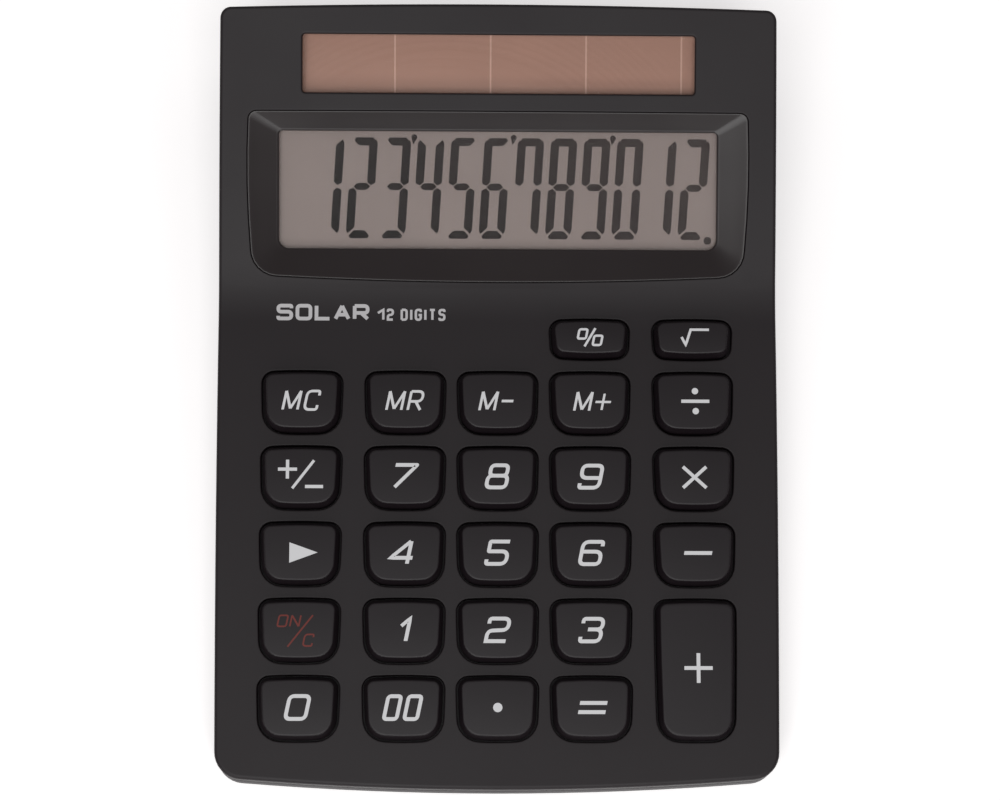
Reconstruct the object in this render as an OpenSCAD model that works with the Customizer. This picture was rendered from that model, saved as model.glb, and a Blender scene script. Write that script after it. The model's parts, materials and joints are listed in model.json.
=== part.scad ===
// Twelve-digit solar desk calculator, built up from the pieces it comes apart into.
// Millimetres. X runs across, +Y towards the display end, +Z up. The origin is on the
// surface that the calculator rests on, under the middle of its outline.

/* [Case] */
// Widest place of the case, across
case_w = 104; // [102:1:130]
// Length of the case from front to rear
case_l = 143; // [138:1:175]
// Height of the front edge above the resting surface
front_h = 9; // [8.5:0.1:14]
// Slope of the deck that holds the keys, degrees
key_slope = 4; // [2:0.5:8]
// Slope of the deck that holds the display, degrees
display_slope = 16.75; // [10:0.25:24]
// Distance from the front edge to the line where the two decks meet
deck_l = 90.6; // [90:0.1:110]
// Radius that blends the two decks
bend_r = 40; // [20:5:60]
// Wall thickness of both shells
wall = 2; // [1.2:0.1:2.6]
// Thickness of the top deck
deck_t = 1.8; // [1.5:0.1:2.2]
// Thickness of the floor
floor_t = 1.6; // [1.2:0.1:2]
// Height of the parting line between the shells
parting_h = 6.4; // [5:0.1:6.6]
// How far each side bulges from its widest place to the front corner
side_bow = 0.5; // [0.2:0.1:2]
// How far the front edge bulges
front_bow = 2.3; // [0.5:0.1:4]
// How far the rear edge bulges
rear_bow = 0.8; // [0.2:0.1:2]
// Radius of the front corners, seen from above
front_corner_r = 5; // [4:0.5:9]
// Radius of the rear corners, seen from above
rear_corner_r = 2; // [1.5:0.5:6]

/* [Keys] */
// Width of a key opening
bay_w = 15; // [12:0.1:15.4]
// Length of a full key opening
bay_l = 12; // [10:0.1:12.4]
// Length of an opening in the short back row
short_bay_l = 7.8; // [7.4:0.1:8.2]
// Distance between the rows of full keys
row_pitch = 14.1; // [13.8:0.1:14.6]
// Distance from the middle column to the columns beside it
inner_pitch = 17.1; // [16.8:0.1:18]
// Distance from those columns to the outer ones
outer_pitch = 19.1; // [18:0.1:19.6]
// Distance from the meeting line of the decks to the middle of the first full row
first_row = 19.9; // [19.5:0.1:20.5]
// Distance from the meeting line of the decks to the middle of the short row
short_row = 7.8; // [7.6:0.1:8]
// Space between a key and its opening, on each side
key_gap = 0.3; // [0.3:0.05:0.5]
// Height of a key top above the deck
key_rise = 2.3; // [1.6:0.1:3.5]
// How far the key top is set in from the key sides
key_lean = 0.7; // [0.3:0.1:1]
// Thickness of the key walls and top
key_wall = 1; // [0.8:0.1:1.2]
// How far the flange under the deck stands out past the opening
flange_w = 0.65; // [0.4:0.05:0.7]
// How far a key travels
key_travel = 1.1; // [0.8:0.1:1.4]

/* [Display] */
// Width of the display frame
frame_w = 93.4; // [90:0.1:96]
// Length of the display frame
frame_l = 31.7; // [30:0.1:34]
// Distance from the meeting line of the decks to the frame
frame_start = 3; // [2:0.1:6]
// Depth of the frame's sloped border at the window
frame_dish = 1.4; // [0.8:0.1:1.6]
// Width of the display window
window_w = 81.8; // [65:0.1:84]
// Length of the display window
window_l = 21.9; // [17:0.1:22]
// Distance from the meeting line of the decks to the middle of the display window
window_mid = 20.1; // [19.5:0.1:21]
// Width of the solar window
solar_w = 73.1; // [55:0.1:85]
// Length of the solar window
solar_l = 10.9; // [9:0.1:12]
// Distance from the meeting line of the decks to the middle of the solar window
solar_mid = 43.5; // [43:0.1:44]

/* [Inside] */
// Thickness of the circuit board
board_t = 1; // [0.8:0.1:1.2]
// Thickness of the rubber sheet under the keys
sheet_t = 0.6; // [0.5:0.1:0.8]
// Outer diameter of the base of a full rubber dome
dome_d = 8; // [7:0.5:8.5]
// Thickness of each of the two sheets of display glass
glass_t = 0.6; // [0.5:0.1:0.8]
// Diameter of the case screws' shanks
case_screw_d = 2.2; // [2:0.1:2.4]
// Diameter of the small inner screws' shanks
small_screw_d = 1.6; // [1.4:0.1:1.8]
// Outer diameter of the solar cell's leads
lead_d = 1; // [0.8:0.1:1.2]

/* [Feet] */
// Diameter of a rubber foot
foot_d = 9; // [7:0.5:10]
// Height that the feet hold the case off the table
foot_rise = 1; // [0.8:0.1:1.5]
// Depth of the recess that holds a foot
foot_recess = 0.8; // [0.5:0.1:1]

/* [Hidden] */

$fn = 48;
cut = 1;                                    // how far a cutting shape runs past what it cuts
seat_gap = 0.1;                             // space around a piece that is glued into a seat
lip_gap = 0.15;                             // space between the lower shell's lip and the upper shell

// Places in the case
bend_y = deck_l - case_l / 2;
bend_z = front_h + deck_l * tan(key_slope);
widest_y = 0.14 * case_l;
floor_z = foot_rise + floor_t;
blend_run = bend_r * tan((display_slope - key_slope) / 2);
groove = 0.4;
lip_t = 1;
lip_h = 1.6;
lip_root = 1.2;                             // depth below the parting line at which the lip starts

// Layers under the key deck, measured down from its top
flange_gap = 0.15;
flange_t = 0.7;
flange_z = -deck_t - flange_gap - flange_t;
sheet_z = flange_z - key_travel - 0.35;
board_z = sheet_z - sheet_t;
board_back_z = board_z - board_t;
dome_top_z = -deck_t + 0.1;
stem_z = dome_top_z + 0.15;
stem_d = 2.2;
short_dome_d = 5;
shoulder_z = 0.3;

// Layers under the display deck, measured down from its top
frame_rim_t = 1;
window_t = 1;
window_z = -frame_dish - 0.4 - window_t;
film_t = 0.15;
film_z = window_z - 0.1 - film_t;
front_glass_z = film_z - glass_t;
rear_glass_z = front_glass_z - glass_t;
reflector_z = rear_glass_z - film_t;
holder_t = 1.2;
holder_z = reflector_z - holder_t;
solar_flange_t = 0.8;
solar_sunk = 0.15;
cell_t = 1.1;
collar_wall = 1.2;
collar_h = 1.6;

// Key places
columns = [-inner_pitch - outer_pitch, -inner_pitch, 0, inner_pitch, inner_pitch + outer_pitch];
function row_y(row) = row == 0 ? -short_row : -first_row - (row - 1) * row_pitch;
tall_l = bay_l + row_pitch;
tall_y = (row_y(4) + row_y(5)) / 2;

// Key outline
key_back_r = 2.2;
key_front_r = 4.2;
short_front_r = 2.4;
key_back_bow = 0.28;
key_front_bow = 0.45;

// Frame outline
frame_front_r = 5;
frame_back_r = 1.5;
frame_front_bow = 1.3;
frame_back_bow = 0.1;
frame_side_bow = 0.7;
frame_widest = 6;
frame_ledge = 1.2;                          // width of the ledge that the frame rests on
window_front_r = 1.8;
window_back_r = 0.7;
window_lap = 1;                             // how far a window reaches past its opening

// Inside pieces
boss_d = 4.6;
column_d = 5.4;
boss_seat_z = floor_z + 2;
screw_head_d = 4;
screw_head_h = 1.2;
counterbore_h = 1.4;
boss_gap = 0.3;                             // space around a boss in the lower shell
shank_gap = 0.3;                            // how much wider a screw's free hole is than its shank
bite_gap = 0.1;                             // how much wider a screw's threaded hole is
case_bite = 3.2;                            // how far a case screw reaches into its boss
inner_bite = 2.2;                           // how far an inner screw reaches into its post
bore_end = 0.4;                             // free length of a threaded hole past its screw
small_head_d = 3;
small_head_h = 0.7;
post_d = 3;
boss_x = case_w / 2 - wall - 2.4;
board_margin = boss_x - column_d / 2 - 0.5;
board_w = 2 * board_margin;
board_front = deck_l / cos(key_slope) - wall - lip_gap - lip_t - 0.7;
board_back = 1.5;
sheet_back = -2.6;
post_x = inner_pitch + outer_pitch / 2;
post_ys = [
    (row_y(0) - short_bay_l / 2 + row_y(1) + bay_l / 2) / 2,
    (row_y(2) + row_y(3)) / 2,
    row_y(5) - bay_l / 2 - 0.1
];
glass_w = window_w + 4;
glass_l = window_l + 3;
glass_ledge = 2.6;
holder_wall = 1.4;
holder_post_x = frame_w / 2 + 1.1;
holder_post_ys = [window_mid - 7, window_mid + 9];

// Case screws: x from the middle, y from the middle
screw_places = [
    [boss_x - 0.7, -case_l / 2 + 8.5], [boss_x, bend_y - 1], [boss_x - 1, case_l / 2 - 6]
];
foot_places = [[case_w / 2 - 15, -case_l / 2 + 14], [case_w / 2 - 15, case_l / 2 - 14]];

// ---------------------------------------------------------------- outlines

function arc(cx, cy, r, a0, a1, steps) =
    [for (i = [0:steps]) let (a = a0 + (a1 - a0) * i / steps) [cx + r * cos(a), cy + r * sin(a)]];

// Right half of a rounded tile whose four edges bulge, from its front middle to its back middle.
// r and bow are [front, back] pairs; the sides are widest at y = wide.
function half_tile(w, l, r, bow, side, wide, steps) =
    let (
        half = w / 2,
        side_x = function(y) half - side * pow((y - wide) / (l / 2), 2),
        front_y = function(x) -l / 2 + bow[0] * pow(x / half, 2),
        back_y = function(x) l / 2 - bow[1] * pow(x / half, 2),
        fx = side_x(-l / 2 + bow[0] + r[0]) - r[0],
        bx = side_x(l / 2 - bow[1] - r[1]) - r[1],
        fa = atan(2 * bow[0] * fx / (half * half)),
        ba = atan(2 * bow[1] * bx / (half * half)),
        fxe = fx + r[0] * sin(fa),
        bxe = bx + r[1] * sin(ba),
        fy = front_y(fxe) + r[0] * cos(fa),
        by = back_y(bxe) - r[1] * cos(ba)
    )
    concat(
        [for (i = [0:steps - 1]) [fxe * i / steps, front_y(fxe * i / steps)]],
        arc(fx, fy, r[0], fa - 90, 0, steps),
        [for (i = [1:1:(side > 0 ? steps : 0)]) let (y = fy + (by - fy) * i / (steps + 1)) [side_x(y), y]],
        arc(bx, by, r[1], 0, 90 - ba, steps),
        [for (i = [steps - 1:-1:0]) [bxe * i / steps, back_y(bxe * i / steps)]]
    );

function tile(w, l, r, bow, side = 0, wide = 0, steps = 3) =
    let (right = half_tile(w, l, r, bow, side, wide, steps))
    concat(right, [for (i = [len(right) - 2:-1:1]) [-right[i][0], right[i][1]]]);

// The case seen from above, set in by an even amount
function case_outline(inset) =
    tile(case_w - 2 * inset, case_l - 2 * inset,
         [max(front_corner_r - inset, 0.6), max(rear_corner_r - inset, 0.6)],
         [front_bow, rear_bow], side_bow, widest_y, 6);

// The line along the decks seen from the side, set down by an even depth
function deck_line(depth) =
    let (
        mid_y = bend_y - blend_run * cos(key_slope) - bend_r * sin(key_slope),
        mid_z = bend_z - blend_run * sin(key_slope) + bend_r * cos(key_slope),
        r = bend_r + depth,
        bend = arc(mid_y, mid_z, r, key_slope - 90, display_slope - 90, 6),
        reach = case_l
    )
    concat(
        [bend[0] - reach * [cos(key_slope), sin(key_slope)]],
        bend,
        [bend[6] + reach * [cos(display_slope), sin(display_slope)]]
    );

// The outline of a key or its opening; grow is added on every side
function key_outline(l, grow, front_r) =
    tile(bay_w + 2 * grow, l + 2 * grow, [front_r + grow, key_back_r + grow],
         [key_front_bow, key_back_bow], 0.12, l / 2);

function frame_outline(grow) =
    tile(frame_w + 2 * grow, frame_l + 2 * grow, [frame_front_r + grow, frame_back_r + grow],
         [frame_front_bow, frame_back_bow], frame_side_bow, frame_widest, 4);

// ---------------------------------------------------------------- helpers

// Carries its children onto the key deck: x across, y towards the display, z out of the deck
module on_key_deck() {
    translate([0, bend_y, bend_z]) rotate([key_slope, 0, 0]) children();
}

// Carries its children onto the display deck, laid out in the same way
module on_display_deck() {
    translate([0, bend_y, bend_z]) rotate([display_slope, 0, 0]) children();
}

// Everything below the decks, down to a height
module below_decks(depth, bottom) {
    line = deck_line(depth);
    ends = [[line[len(line) - 1][0], bottom], [line[0][0], bottom]];
    rotate([90, 0, 90]) translate([0, 0, -case_w])
        linear_extrude(2 * case_w) polygon(concat(line, ends));
}

// A plate between two heights
module plate(points, low, high) {
    translate([0, 0, low]) linear_extrude(high - low) polygon(points);
}

module both_sides() {
    children();
    mirror([1, 0, 0]) children();
}

module at_case_screws() {
    both_sides() for (p = screw_places) translate([p[0], p[1], 0]) children();
}

module at_feet() {
    both_sides() for (p = foot_places) translate([p[0], p[1], 0]) children();
}

module at_board_posts() {
    on_key_deck() both_sides() for (y = post_ys) translate([post_x, y, 0]) children();
}

module at_holder_posts() {
    on_display_deck() both_sides() for (y = holder_post_ys) translate([holder_post_x, y, 0]) children();
}

// Puts its child at every full key, and its second child at every short key
module at_keys() {
    for (row = [1:5]) for (i = [0:4])
        if (!(i == 4 && row > 3)) translate([columns[i], row_y(row), 0]) children(0);
    for (i = [3:4]) translate([columns[i], row_y(0), 0]) children(1);
}

// ---------------------------------------------------------------- shells

module deck_openings() {
    on_key_deck() {
        at_keys() {
            plate(key_outline(bay_l, 0, key_front_r), -deck_t - cut, cut);
            plate(key_outline(short_bay_l, 0, short_front_r), -deck_t - cut, cut);
        }
        translate([columns[4], tall_y, 0])
            plate(key_outline(tall_l, 0, key_front_r), -deck_t - cut, cut);
    }
    on_display_deck() {
        translate([0, frame_start + frame_l / 2, 0]) {
            plate(frame_outline(seat_gap), -frame_rim_t, cut);
            plate(frame_outline(seat_gap - frame_ledge), -deck_t - cut, cut);
        }
        translate([0, solar_mid, 0])
            plate(tile(solar_w, solar_l, [0.6, 0.6], [0, 0], 0, 0, 2), -deck_t - cut, cut);
    }
}

// Walls that hold the solar window and cell in place
module solar_collar() {
    inner_grow = 2 * (window_lap + seat_gap);
    outer_grow = inner_grow + 2 * collar_wall;
    outer = tile(solar_w + outer_grow, solar_l + outer_grow, [1.5, 1.5], [0, 0], 0, 0, 2);
    inner = tile(solar_w + inner_grow, solar_l + inner_grow, [0.5, 0.5], [0, 0], 0, 0, 2);
    on_display_deck() translate([0, solar_mid, 0]) difference() {
        plate(outer, -deck_t - collar_h, -deck_t / 2);
        plate(inner, -deck_t - collar_h - cut, -deck_t);
    }
}

module upper_case() {
    color("#2b282a") difference() {
        union() {
            difference() {
                intersection() {
                    plate(case_outline(0), parting_h, 2 * case_l);
                    below_decks(0, 0);
                }
                intersection() {
                    plate(case_outline(wall), 0, 2 * case_l);
                    below_decks(deck_t, -cut);
                }
            }
            intersection() {
                at_case_screws() translate([0, 0, boss_seat_z]) cylinder(d = boss_d, h = case_l);
                below_decks(deck_t / 2, 0);
                plate(case_outline(wall / 2), 0, 2 * case_l);
            }
            at_board_posts() translate([0, 0, board_z]) cylinder(d = post_d, h = -deck_t / 2 - board_z);
            at_holder_posts() translate([0, 0, holder_z + holder_t])
                cylinder(d = post_d, h = -deck_t / 2 - holder_z - holder_t);
            solar_collar();
        }
        deck_openings();
        at_case_screws() translate([0, 0, boss_seat_z - cut])
            cylinder(d = case_screw_d + bite_gap, h = case_bite + bore_end + cut);
        at_board_posts() translate([0, 0, board_z - cut])
            cylinder(d = small_screw_d + bite_gap, h = inner_bite + bore_end + cut);
        at_holder_posts() translate([0, 0, holder_z + holder_t - cut])
            cylinder(d = small_screw_d + bite_gap, h = inner_bite + bore_end + cut);
    }
}

module lower_case() {
    lip_in = wall + lip_gap;
    color("#262325") difference() {
        union() {
            difference() {
                union() {
                    plate(case_outline(0), foot_rise, parting_h - groove);
                    plate(case_outline(groove), foot_rise, parting_h);
                    intersection() {
                        plate(case_outline(lip_in), foot_rise, parting_h + lip_h);
                        below_decks(deck_t + 2 * lip_gap, 0);
                    }
                }
                plate(case_outline(wall), floor_z, parting_h - lip_root);
                plate(case_outline(lip_in + lip_t), floor_z, 2 * parting_h);
            }
            at_case_screws() translate([0, 0, foot_rise + floor_t / 2])
                cylinder(d = column_d, h = boss_seat_z - seat_gap - foot_rise - floor_t / 2);
        }
        at_case_screws() {
            translate([0, 0, boss_seat_z - seat_gap]) cylinder(d = boss_d + 2 * boss_gap, h = parting_h);
            translate([0, 0, foot_rise - cut]) cylinder(d = case_screw_d + shank_gap, h = parting_h);
            translate([0, 0, foot_rise - cut]) cylinder(d = screw_head_d + 0.4, h = counterbore_h + cut);
        }
        at_feet() translate([0, 0, foot_rise - cut])
            cylinder(d = foot_d + 2 * seat_gap, h = foot_recess + cut);
    }
}

// ---------------------------------------------------------------- display

module display_frame() {
    color("#3a3637") on_display_deck() translate([0, frame_start + frame_l / 2, 0]) {
        window_y = window_mid - frame_start - frame_l / 2;
        seat_grow = 2 * (window_lap + seat_gap);
        opening = tile(window_w, window_l, [window_front_r, window_back_r], [0, 0], 0, 0, 4);
        seat = tile(window_w + seat_grow, window_l + seat_grow, [0.6, 0.6], [0, 0], 0, 0, 2);
        difference() {
            union() {
                plate(frame_outline(0), -frame_rim_t, 0);
                plate(frame_outline(-frame_ledge), window_z, -frame_rim_t / 2);
            }
            hull() {
                plate(frame_outline(-0.5), 0, 0.2);
                translate([0, window_y, 0]) plate(opening, -frame_dish, -frame_dish + 0.01);
            }
            translate([0, window_y, 0]) {
                plate(opening, window_z - cut, cut);
                plate(seat, window_z - cut, window_z + window_t);
            }
        }
    }
}

module display_window() {
    color([0.8, 0.85, 0.85, 0.35]) on_display_deck() translate([0, window_mid, 0])
        plate(tile(window_w + 2 * window_lap, window_l + 2 * window_lap, [0.5, 0.5], [0, 0], 0, 0, 2),
              window_z, window_z + window_t);
}

module solar_window() {
    top = tile(solar_w - 2 * seat_gap, solar_l - 2 * seat_gap, [0.5, 0.5], [0, 0], 0, 0, 2);
    flange = tile(solar_w + 2 * window_lap, solar_l + 2 * window_lap, [0.4, 0.4], [0, 0], 0, 0, 2);
    color([0.6, 0.5, 0.45, 0.4]) on_display_deck() translate([0, solar_mid, 0]) {
        plate(top, -deck_t - solar_flange_t / 2, -solar_sunk);
        plate(flange, -deck_t - solar_flange_t, -deck_t);
    }
}

module solar_cell() {
    top = -deck_t - solar_flange_t;
    color("#4c3630") on_display_deck() translate([0, solar_mid, 0])
        plate(tile(solar_w + 2 * window_lap, solar_l + 2 * window_lap, [0.3, 0.3], [0, 0], 0, 0, 2),
              top - cell_t, top);
}

// A rectangle of display sheet, with its rear edge fixed and its front edge moved by longer
module display_sheet(low, high, longer = 0) {
    on_display_deck() translate([-glass_w / 2, window_mid - glass_l / 2 - longer, low])
        cube([glass_w, glass_l + longer, high - low]);
}

module front_polariser() {
    color([0.75, 0.72, 0.7, 0.6]) display_sheet(film_z, film_z + film_t);
}

module front_glass() {
    color([0.8, 0.85, 0.85, 0.35]) display_sheet(front_glass_z, film_z);
}

module rear_glass() {
    color([0.8, 0.85, 0.85, 0.35]) display_sheet(rear_glass_z, front_glass_z, glass_ledge);
}

module rear_reflector() {
    color("#b8aeab") display_sheet(reflector_z, rear_glass_z);
}

module lcd_holder() {
    tray_w = glass_w + 2 * seat_gap + 2 * holder_wall;
    back_y = window_mid + glass_l / 2 + seat_gap + holder_wall;
    front_y = window_mid - glass_l / 2 - glass_ledge - 1;
    wall_h = front_glass_z - holder_z;
    ear_root_d = 5.5;
    color("#57504e") on_display_deck() difference() {
        union() {
            translate([-tray_w / 2, front_y, holder_z]) cube([tray_w, back_y - front_y, wall_h]);
            both_sides() for (y = holder_post_ys) hull() {
                translate([holder_post_x, y, holder_z]) cylinder(d = post_d + 0.7, h = holder_t, $fn = 32);
                translate([tray_w / 2 - 2, y, holder_z]) cylinder(d = ear_root_d, h = holder_t, $fn = 32);
            }
        }
        translate([-glass_w / 2 - seat_gap, front_y - cut, holder_z + holder_t])
            cube([glass_w + 2 * seat_gap, back_y - front_y - holder_wall + cut, wall_h]);
        both_sides() for (y = holder_post_ys) translate([holder_post_x, y, holder_z - cut])
            cylinder(d = small_screw_d + shank_gap, h = holder_t + 2 * cut);
    }
}

// Flexible strip from the display glass to the circuit board
module lcd_ribbon() {
    function key_point(y, z) =
        [bend_y + y * cos(key_slope) - z * sin(key_slope), bend_z + y * sin(key_slope) + z * cos(key_slope)];
    function display_point(y, z) =
        [bend_y + y * cos(display_slope) - z * sin(display_slope),
         bend_z + y * sin(display_slope) + z * cos(display_slope)];
    glass_y = window_mid - glass_l / 2;
    edge_y = glass_y - glass_ledge;
    t = 0.15;
    lift = 0.3;                             // how far the strip rises as it leaves the glass
    pad_l = 1.8;                            // length of the strip that is bonded to the board
    pad_y = board_back - 0.9;
    top = [
        key_point(pad_y - pad_l, board_z + t), key_point(pad_y, board_z + t),
        display_point(edge_y - 0.9, front_glass_z + lift + t), display_point(edge_y + 0.5, front_glass_z + t),
        display_point(glass_y - lift, front_glass_z + t)
    ];
    under = [
        key_point(pad_y - pad_l, board_z), key_point(pad_y, board_z),
        display_point(edge_y - 0.8, front_glass_z + lift), display_point(edge_y + 0.5, front_glass_z),
        display_point(glass_y - lift, front_glass_z)
    ];
    ribbon_w = 64;
    color("#8d6a3c") rotate([90, 0, 90]) translate([0, 0, -ribbon_w / 2]) linear_extrude(ribbon_w)
        polygon(concat(top, [for (i = [4:-1:0]) under[i]]));
}

// ---------------------------------------------------------------- keys

// One moulded key cap in place on the deck: straight below the shoulder, leaning in above it
module key_cap(x, y, l, front_r, stems) {
    skirt = key_outline(l, -key_gap, front_r);
    inner = key_outline(l, -key_gap - key_wall, front_r);
    head = key_outline(l, -key_gap - key_wall - key_lean, front_r);
    skirt_w = bay_w - 2 * key_gap;
    skirt_l = l - 2 * key_gap;
    top_scale = [1 - 2 * key_lean / skirt_w, 1 - 2 * key_lean / skirt_l];
    on_key_deck() translate([x, y, 0]) {
        difference() {
            union() {
                plate(key_outline(l, flange_w, front_r), flange_z, flange_z + flange_t);
                plate(skirt, flange_z, shoulder_z);
                translate([0, 0, shoulder_z])
                    linear_extrude(key_rise - shoulder_z, scale = top_scale, slices = 1) polygon(skirt);
            }
            plate(inner, flange_z - cut, shoulder_z - 0.2);
            plate(head, flange_z - cut, key_rise - key_wall);
        }
        for (s = stems) translate([0, s, stem_z]) cylinder(d = stem_d, h = key_rise - key_wall / 2 - stem_z);
    }
}

module full_key(column, row) {
    color("#2e2a2c") key_cap(columns[column], row_y(row), bay_l, key_front_r, [0]);
}

module short_key(column) {
    color("#2e2a2c") key_cap(columns[column], row_y(0), short_bay_l, short_front_r, [0]);
}

module key_percent() { short_key(3); }
module key_root() { short_key(4); }
module key_memory_clear() { full_key(0, 1); }
module key_memory_recall() { full_key(1, 1); }
module key_memory_minus() { full_key(2, 1); }
module key_memory_plus() { full_key(3, 1); }
module key_divide() { full_key(4, 1); }
module key_sign() { full_key(0, 2); }
module key_7() { full_key(1, 2); }
module key_8() { full_key(2, 2); }
module key_9() { full_key(3, 2); }
module key_multiply() { full_key(4, 2); }
module key_right_shift() { full_key(0, 3); }
module key_4() { full_key(1, 3); }
module key_5() { full_key(2, 3); }
module key_6() { full_key(3, 3); }
module key_minus() { full_key(4, 3); }
module key_on_clear() { full_key(0, 4); }
module key_1() { full_key(1, 4); }
module key_2() { full_key(2, 4); }
module key_3() { full_key(3, 4); }
module key_0() { full_key(0, 5); }
module key_00() { full_key(1, 5); }
module key_point() { full_key(2, 5); }
module key_equals() { full_key(3, 5); }
module key_plus() {
    color("#2e2a2c")
        key_cap(columns[4], tall_y, tall_l, key_front_r, [-row_pitch / 2, row_pitch / 2]);
}

// Puts its first child at every dome under a full or tall key, its second at every short key
module at_domes() {
    at_keys() {
        children(0);
        children(1);
    }
    for (s = [-0.5, 0.5]) translate([columns[4], tall_y + s * row_pitch, 0]) children(0);
}

// A hollow rubber dome with a carbon pill under its roof; it stands on z = 0
module dome(d, h) {
    skin = 0.6;
    roof = 0.9;
    top_d = 0.55 * d;
    rotate_extrude() polygon([
        [d / 2, 0], [top_d / 2 + 0.2, h * 0.75], [top_d / 2, h], [0, h],
        [0, h - roof - 0.5], [top_d / 2 - skin, h - roof - 0.5], [top_d / 2 - skin, h - roof],
        [d / 2 - skin - 0.3, 0]
    ]);
}

module rubber_sheet() {
    color("#6d6a68") on_key_deck() difference() {
        translate([0, (sheet_back - board_front) / 2, 0])
            plate(tile(board_w - 1, board_front + sheet_back - 1, [6, 1.5], [1.6, 0], 0, 0, 4),
                  board_z, sheet_z);
        at_domes() {
            translate([0, 0, board_z - cut]) cylinder(d = dome_d - 2, h = sheet_t + 2 * cut);
            translate([0, 0, board_z - cut]) cylinder(d = short_dome_d - 1.8, h = sheet_t + 2 * cut);
        }
        both_sides() for (y = post_ys) translate([post_x, y, board_z - cut])
            cylinder(d = post_d + 0.6, h = sheet_t + 2 * cut);
    }
}

module rubber_domes() {
    color("#6d6a68") on_key_deck() at_domes() {
        translate([0, 0, sheet_z]) dome(dome_d, dome_top_z - sheet_z);
        translate([0, 0, sheet_z]) dome(short_dome_d, dome_top_z - sheet_z);
    }
}

// ---------------------------------------------------------------- electronics

module main_board() {
    color("#3c5a3a") on_key_deck() difference() {
        translate([0, (board_back - board_front) / 2, 0])
            plate(tile(board_w, board_front + board_back, [6, 1.5], [2, 0], 0, 0, 4), board_back_z, board_z);
        both_sides() for (y = post_ys) translate([post_x, y, board_back_z - cut])
            cylinder(d = small_screw_d + shank_gap, h = board_t + 2 * cut);
    }
}

module chip_cover() {
    blob_r = 7;
    blob_h = 1.5;
    ball_r = (blob_r * blob_r + blob_h * blob_h) / (2 * blob_h);
    rim_angle = asin(blob_r / ball_r);
    color("#1b1b1b") on_key_deck() translate([0, row_y(3), board_back_z]) rotate_extrude()
        polygon(concat([[0, 0]], arc(0, ball_r - blob_h, ball_r, rim_angle - 90, -90, 6)));
}

module buffer_capacitor() {
    can_r = 2.2;
    can_l = 7;
    color("#2a3550") on_key_deck() translate([-6, (row_y(0) + row_y(1)) / 2 + 1, board_back_z - can_r])
        rotate([0, 90, 0]) cylinder(r = can_r, h = can_l);
}

module chip_resistors() {
    size = [3, 1.6, 0.6];
    spacing = 5;
    color("#202020") on_key_deck() for (i = [-1:1])
        translate([14 + spacing * i, row_y(2), board_back_z - size[2]]) cube(size);
}

// A tube along a list of points, ended square
module tube(points, d, sides = 8) {
    n = len(points);
    rings = [for (i = [0:n - 1])
        let (
            ahead = points[min(i + 1, n - 1)] - points[max(i - 1, 0)],
            along = ahead / norm(ahead),
            across = [1, 0, 0],
            up = cross(across, along)
        )
        [for (k = [0:sides - 1]) let (a = 360 * k / sides)
            points[i] + d / 2 * (cos(a) * across + sin(a) * up / norm(up))]];
    flat = [for (ring = rings) for (p = ring) p];
    skin = [for (i = [0:n - 2]) for (k = [0:sides - 1])
        let (a = i * sides + k, b = i * sides + (k + 1) % sides)
        [a, a + sides, b + sides, b]];
    first = [[for (k = [0:sides - 1]) k]];
    last = [[for (k = [sides - 1:-1:0]) (n - 1) * sides + k]];
    polyhedron(flat, concat(skin, first, last));
}

// A lead from the back of the solar cell, down behind the display and up to the board
module solar_lead(x) {
    cell_z = -deck_t - solar_flange_t - cell_t;
    start = [x, bend_y + solar_mid * cos(display_slope) - cell_z * sin(display_slope),
             bend_z + solar_mid * sin(display_slope) + cell_z * cos(display_slope)];
    end = [x, bend_y + (board_back - 3) * cos(key_slope) - board_back_z * sin(key_slope),
           bend_z + (board_back - 3) * sin(key_slope) + board_back_z * cos(key_slope)];
    low_z = end[2] - 2.6;
    run = start[1] - end[1];
    out_of_cell = [0, sin(display_slope), -cos(display_slope)];
    into_board = [0, -sin(key_slope), cos(key_slope)];
    tube([
        start, start + 2.5 * out_of_cell, start - [0, 0.6, 5], start - [0, 4, 7.5],
        [x, end[1] + 0.72 * run, low_z + 3.4], [x, end[1] + 0.5 * run, low_z + 1],
        [x, end[1] + 0.25 * run, low_z], [x, end[1] + 3, low_z + 0.2],
        [x, end[1] + 1, low_z + 0.8], end - 0.9 * into_board, end
    ], lead_d);
}

module solar_lead_red() { color("#a02622") solar_lead(-26); }
module solar_lead_black() { color("#1c1c1c") solar_lead(-21); }

// ---------------------------------------------------------------- fasteners and feet

// A cross-head screw with its head down, the head's outer face on z = 0
module screw(d, head_d, head_h, l) {
    slot_w = 0.4;
    difference() {
        union() {
            cylinder(d = head_d, h = head_h);
            cylinder(d = d, h = l);
        }
        for (a = [0, 90]) rotate(a) translate([-head_d / 3, -slot_w / 2, -cut])
            cube([head_d / 1.5, slot_w, head_h * 0.6 + cut]);
    }
}

module case_screws() {
    face_z = foot_rise + counterbore_h - screw_head_h;
    color("#8c8c8c") at_case_screws() translate([0, 0, face_z])
        screw(case_screw_d, screw_head_d, screw_head_h, boss_seat_z + case_bite - face_z);
}

module inner_screws() {
    color("#8c8c8c") {
        at_board_posts() translate([0, 0, board_back_z - small_head_h])
            screw(small_screw_d, small_head_d, small_head_h, small_head_h + board_t + inner_bite);
        at_holder_posts() translate([0, 0, holder_z - small_head_h])
            screw(small_screw_d, small_head_d, small_head_h, small_head_h + holder_t + inner_bite);
    }
}

module rubber_feet() {
    color("#3a3a3a") at_feet() cylinder(d = foot_d, h = foot_rise + foot_recess);
}

// ---------------------------------------------------------------- choice of node

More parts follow.
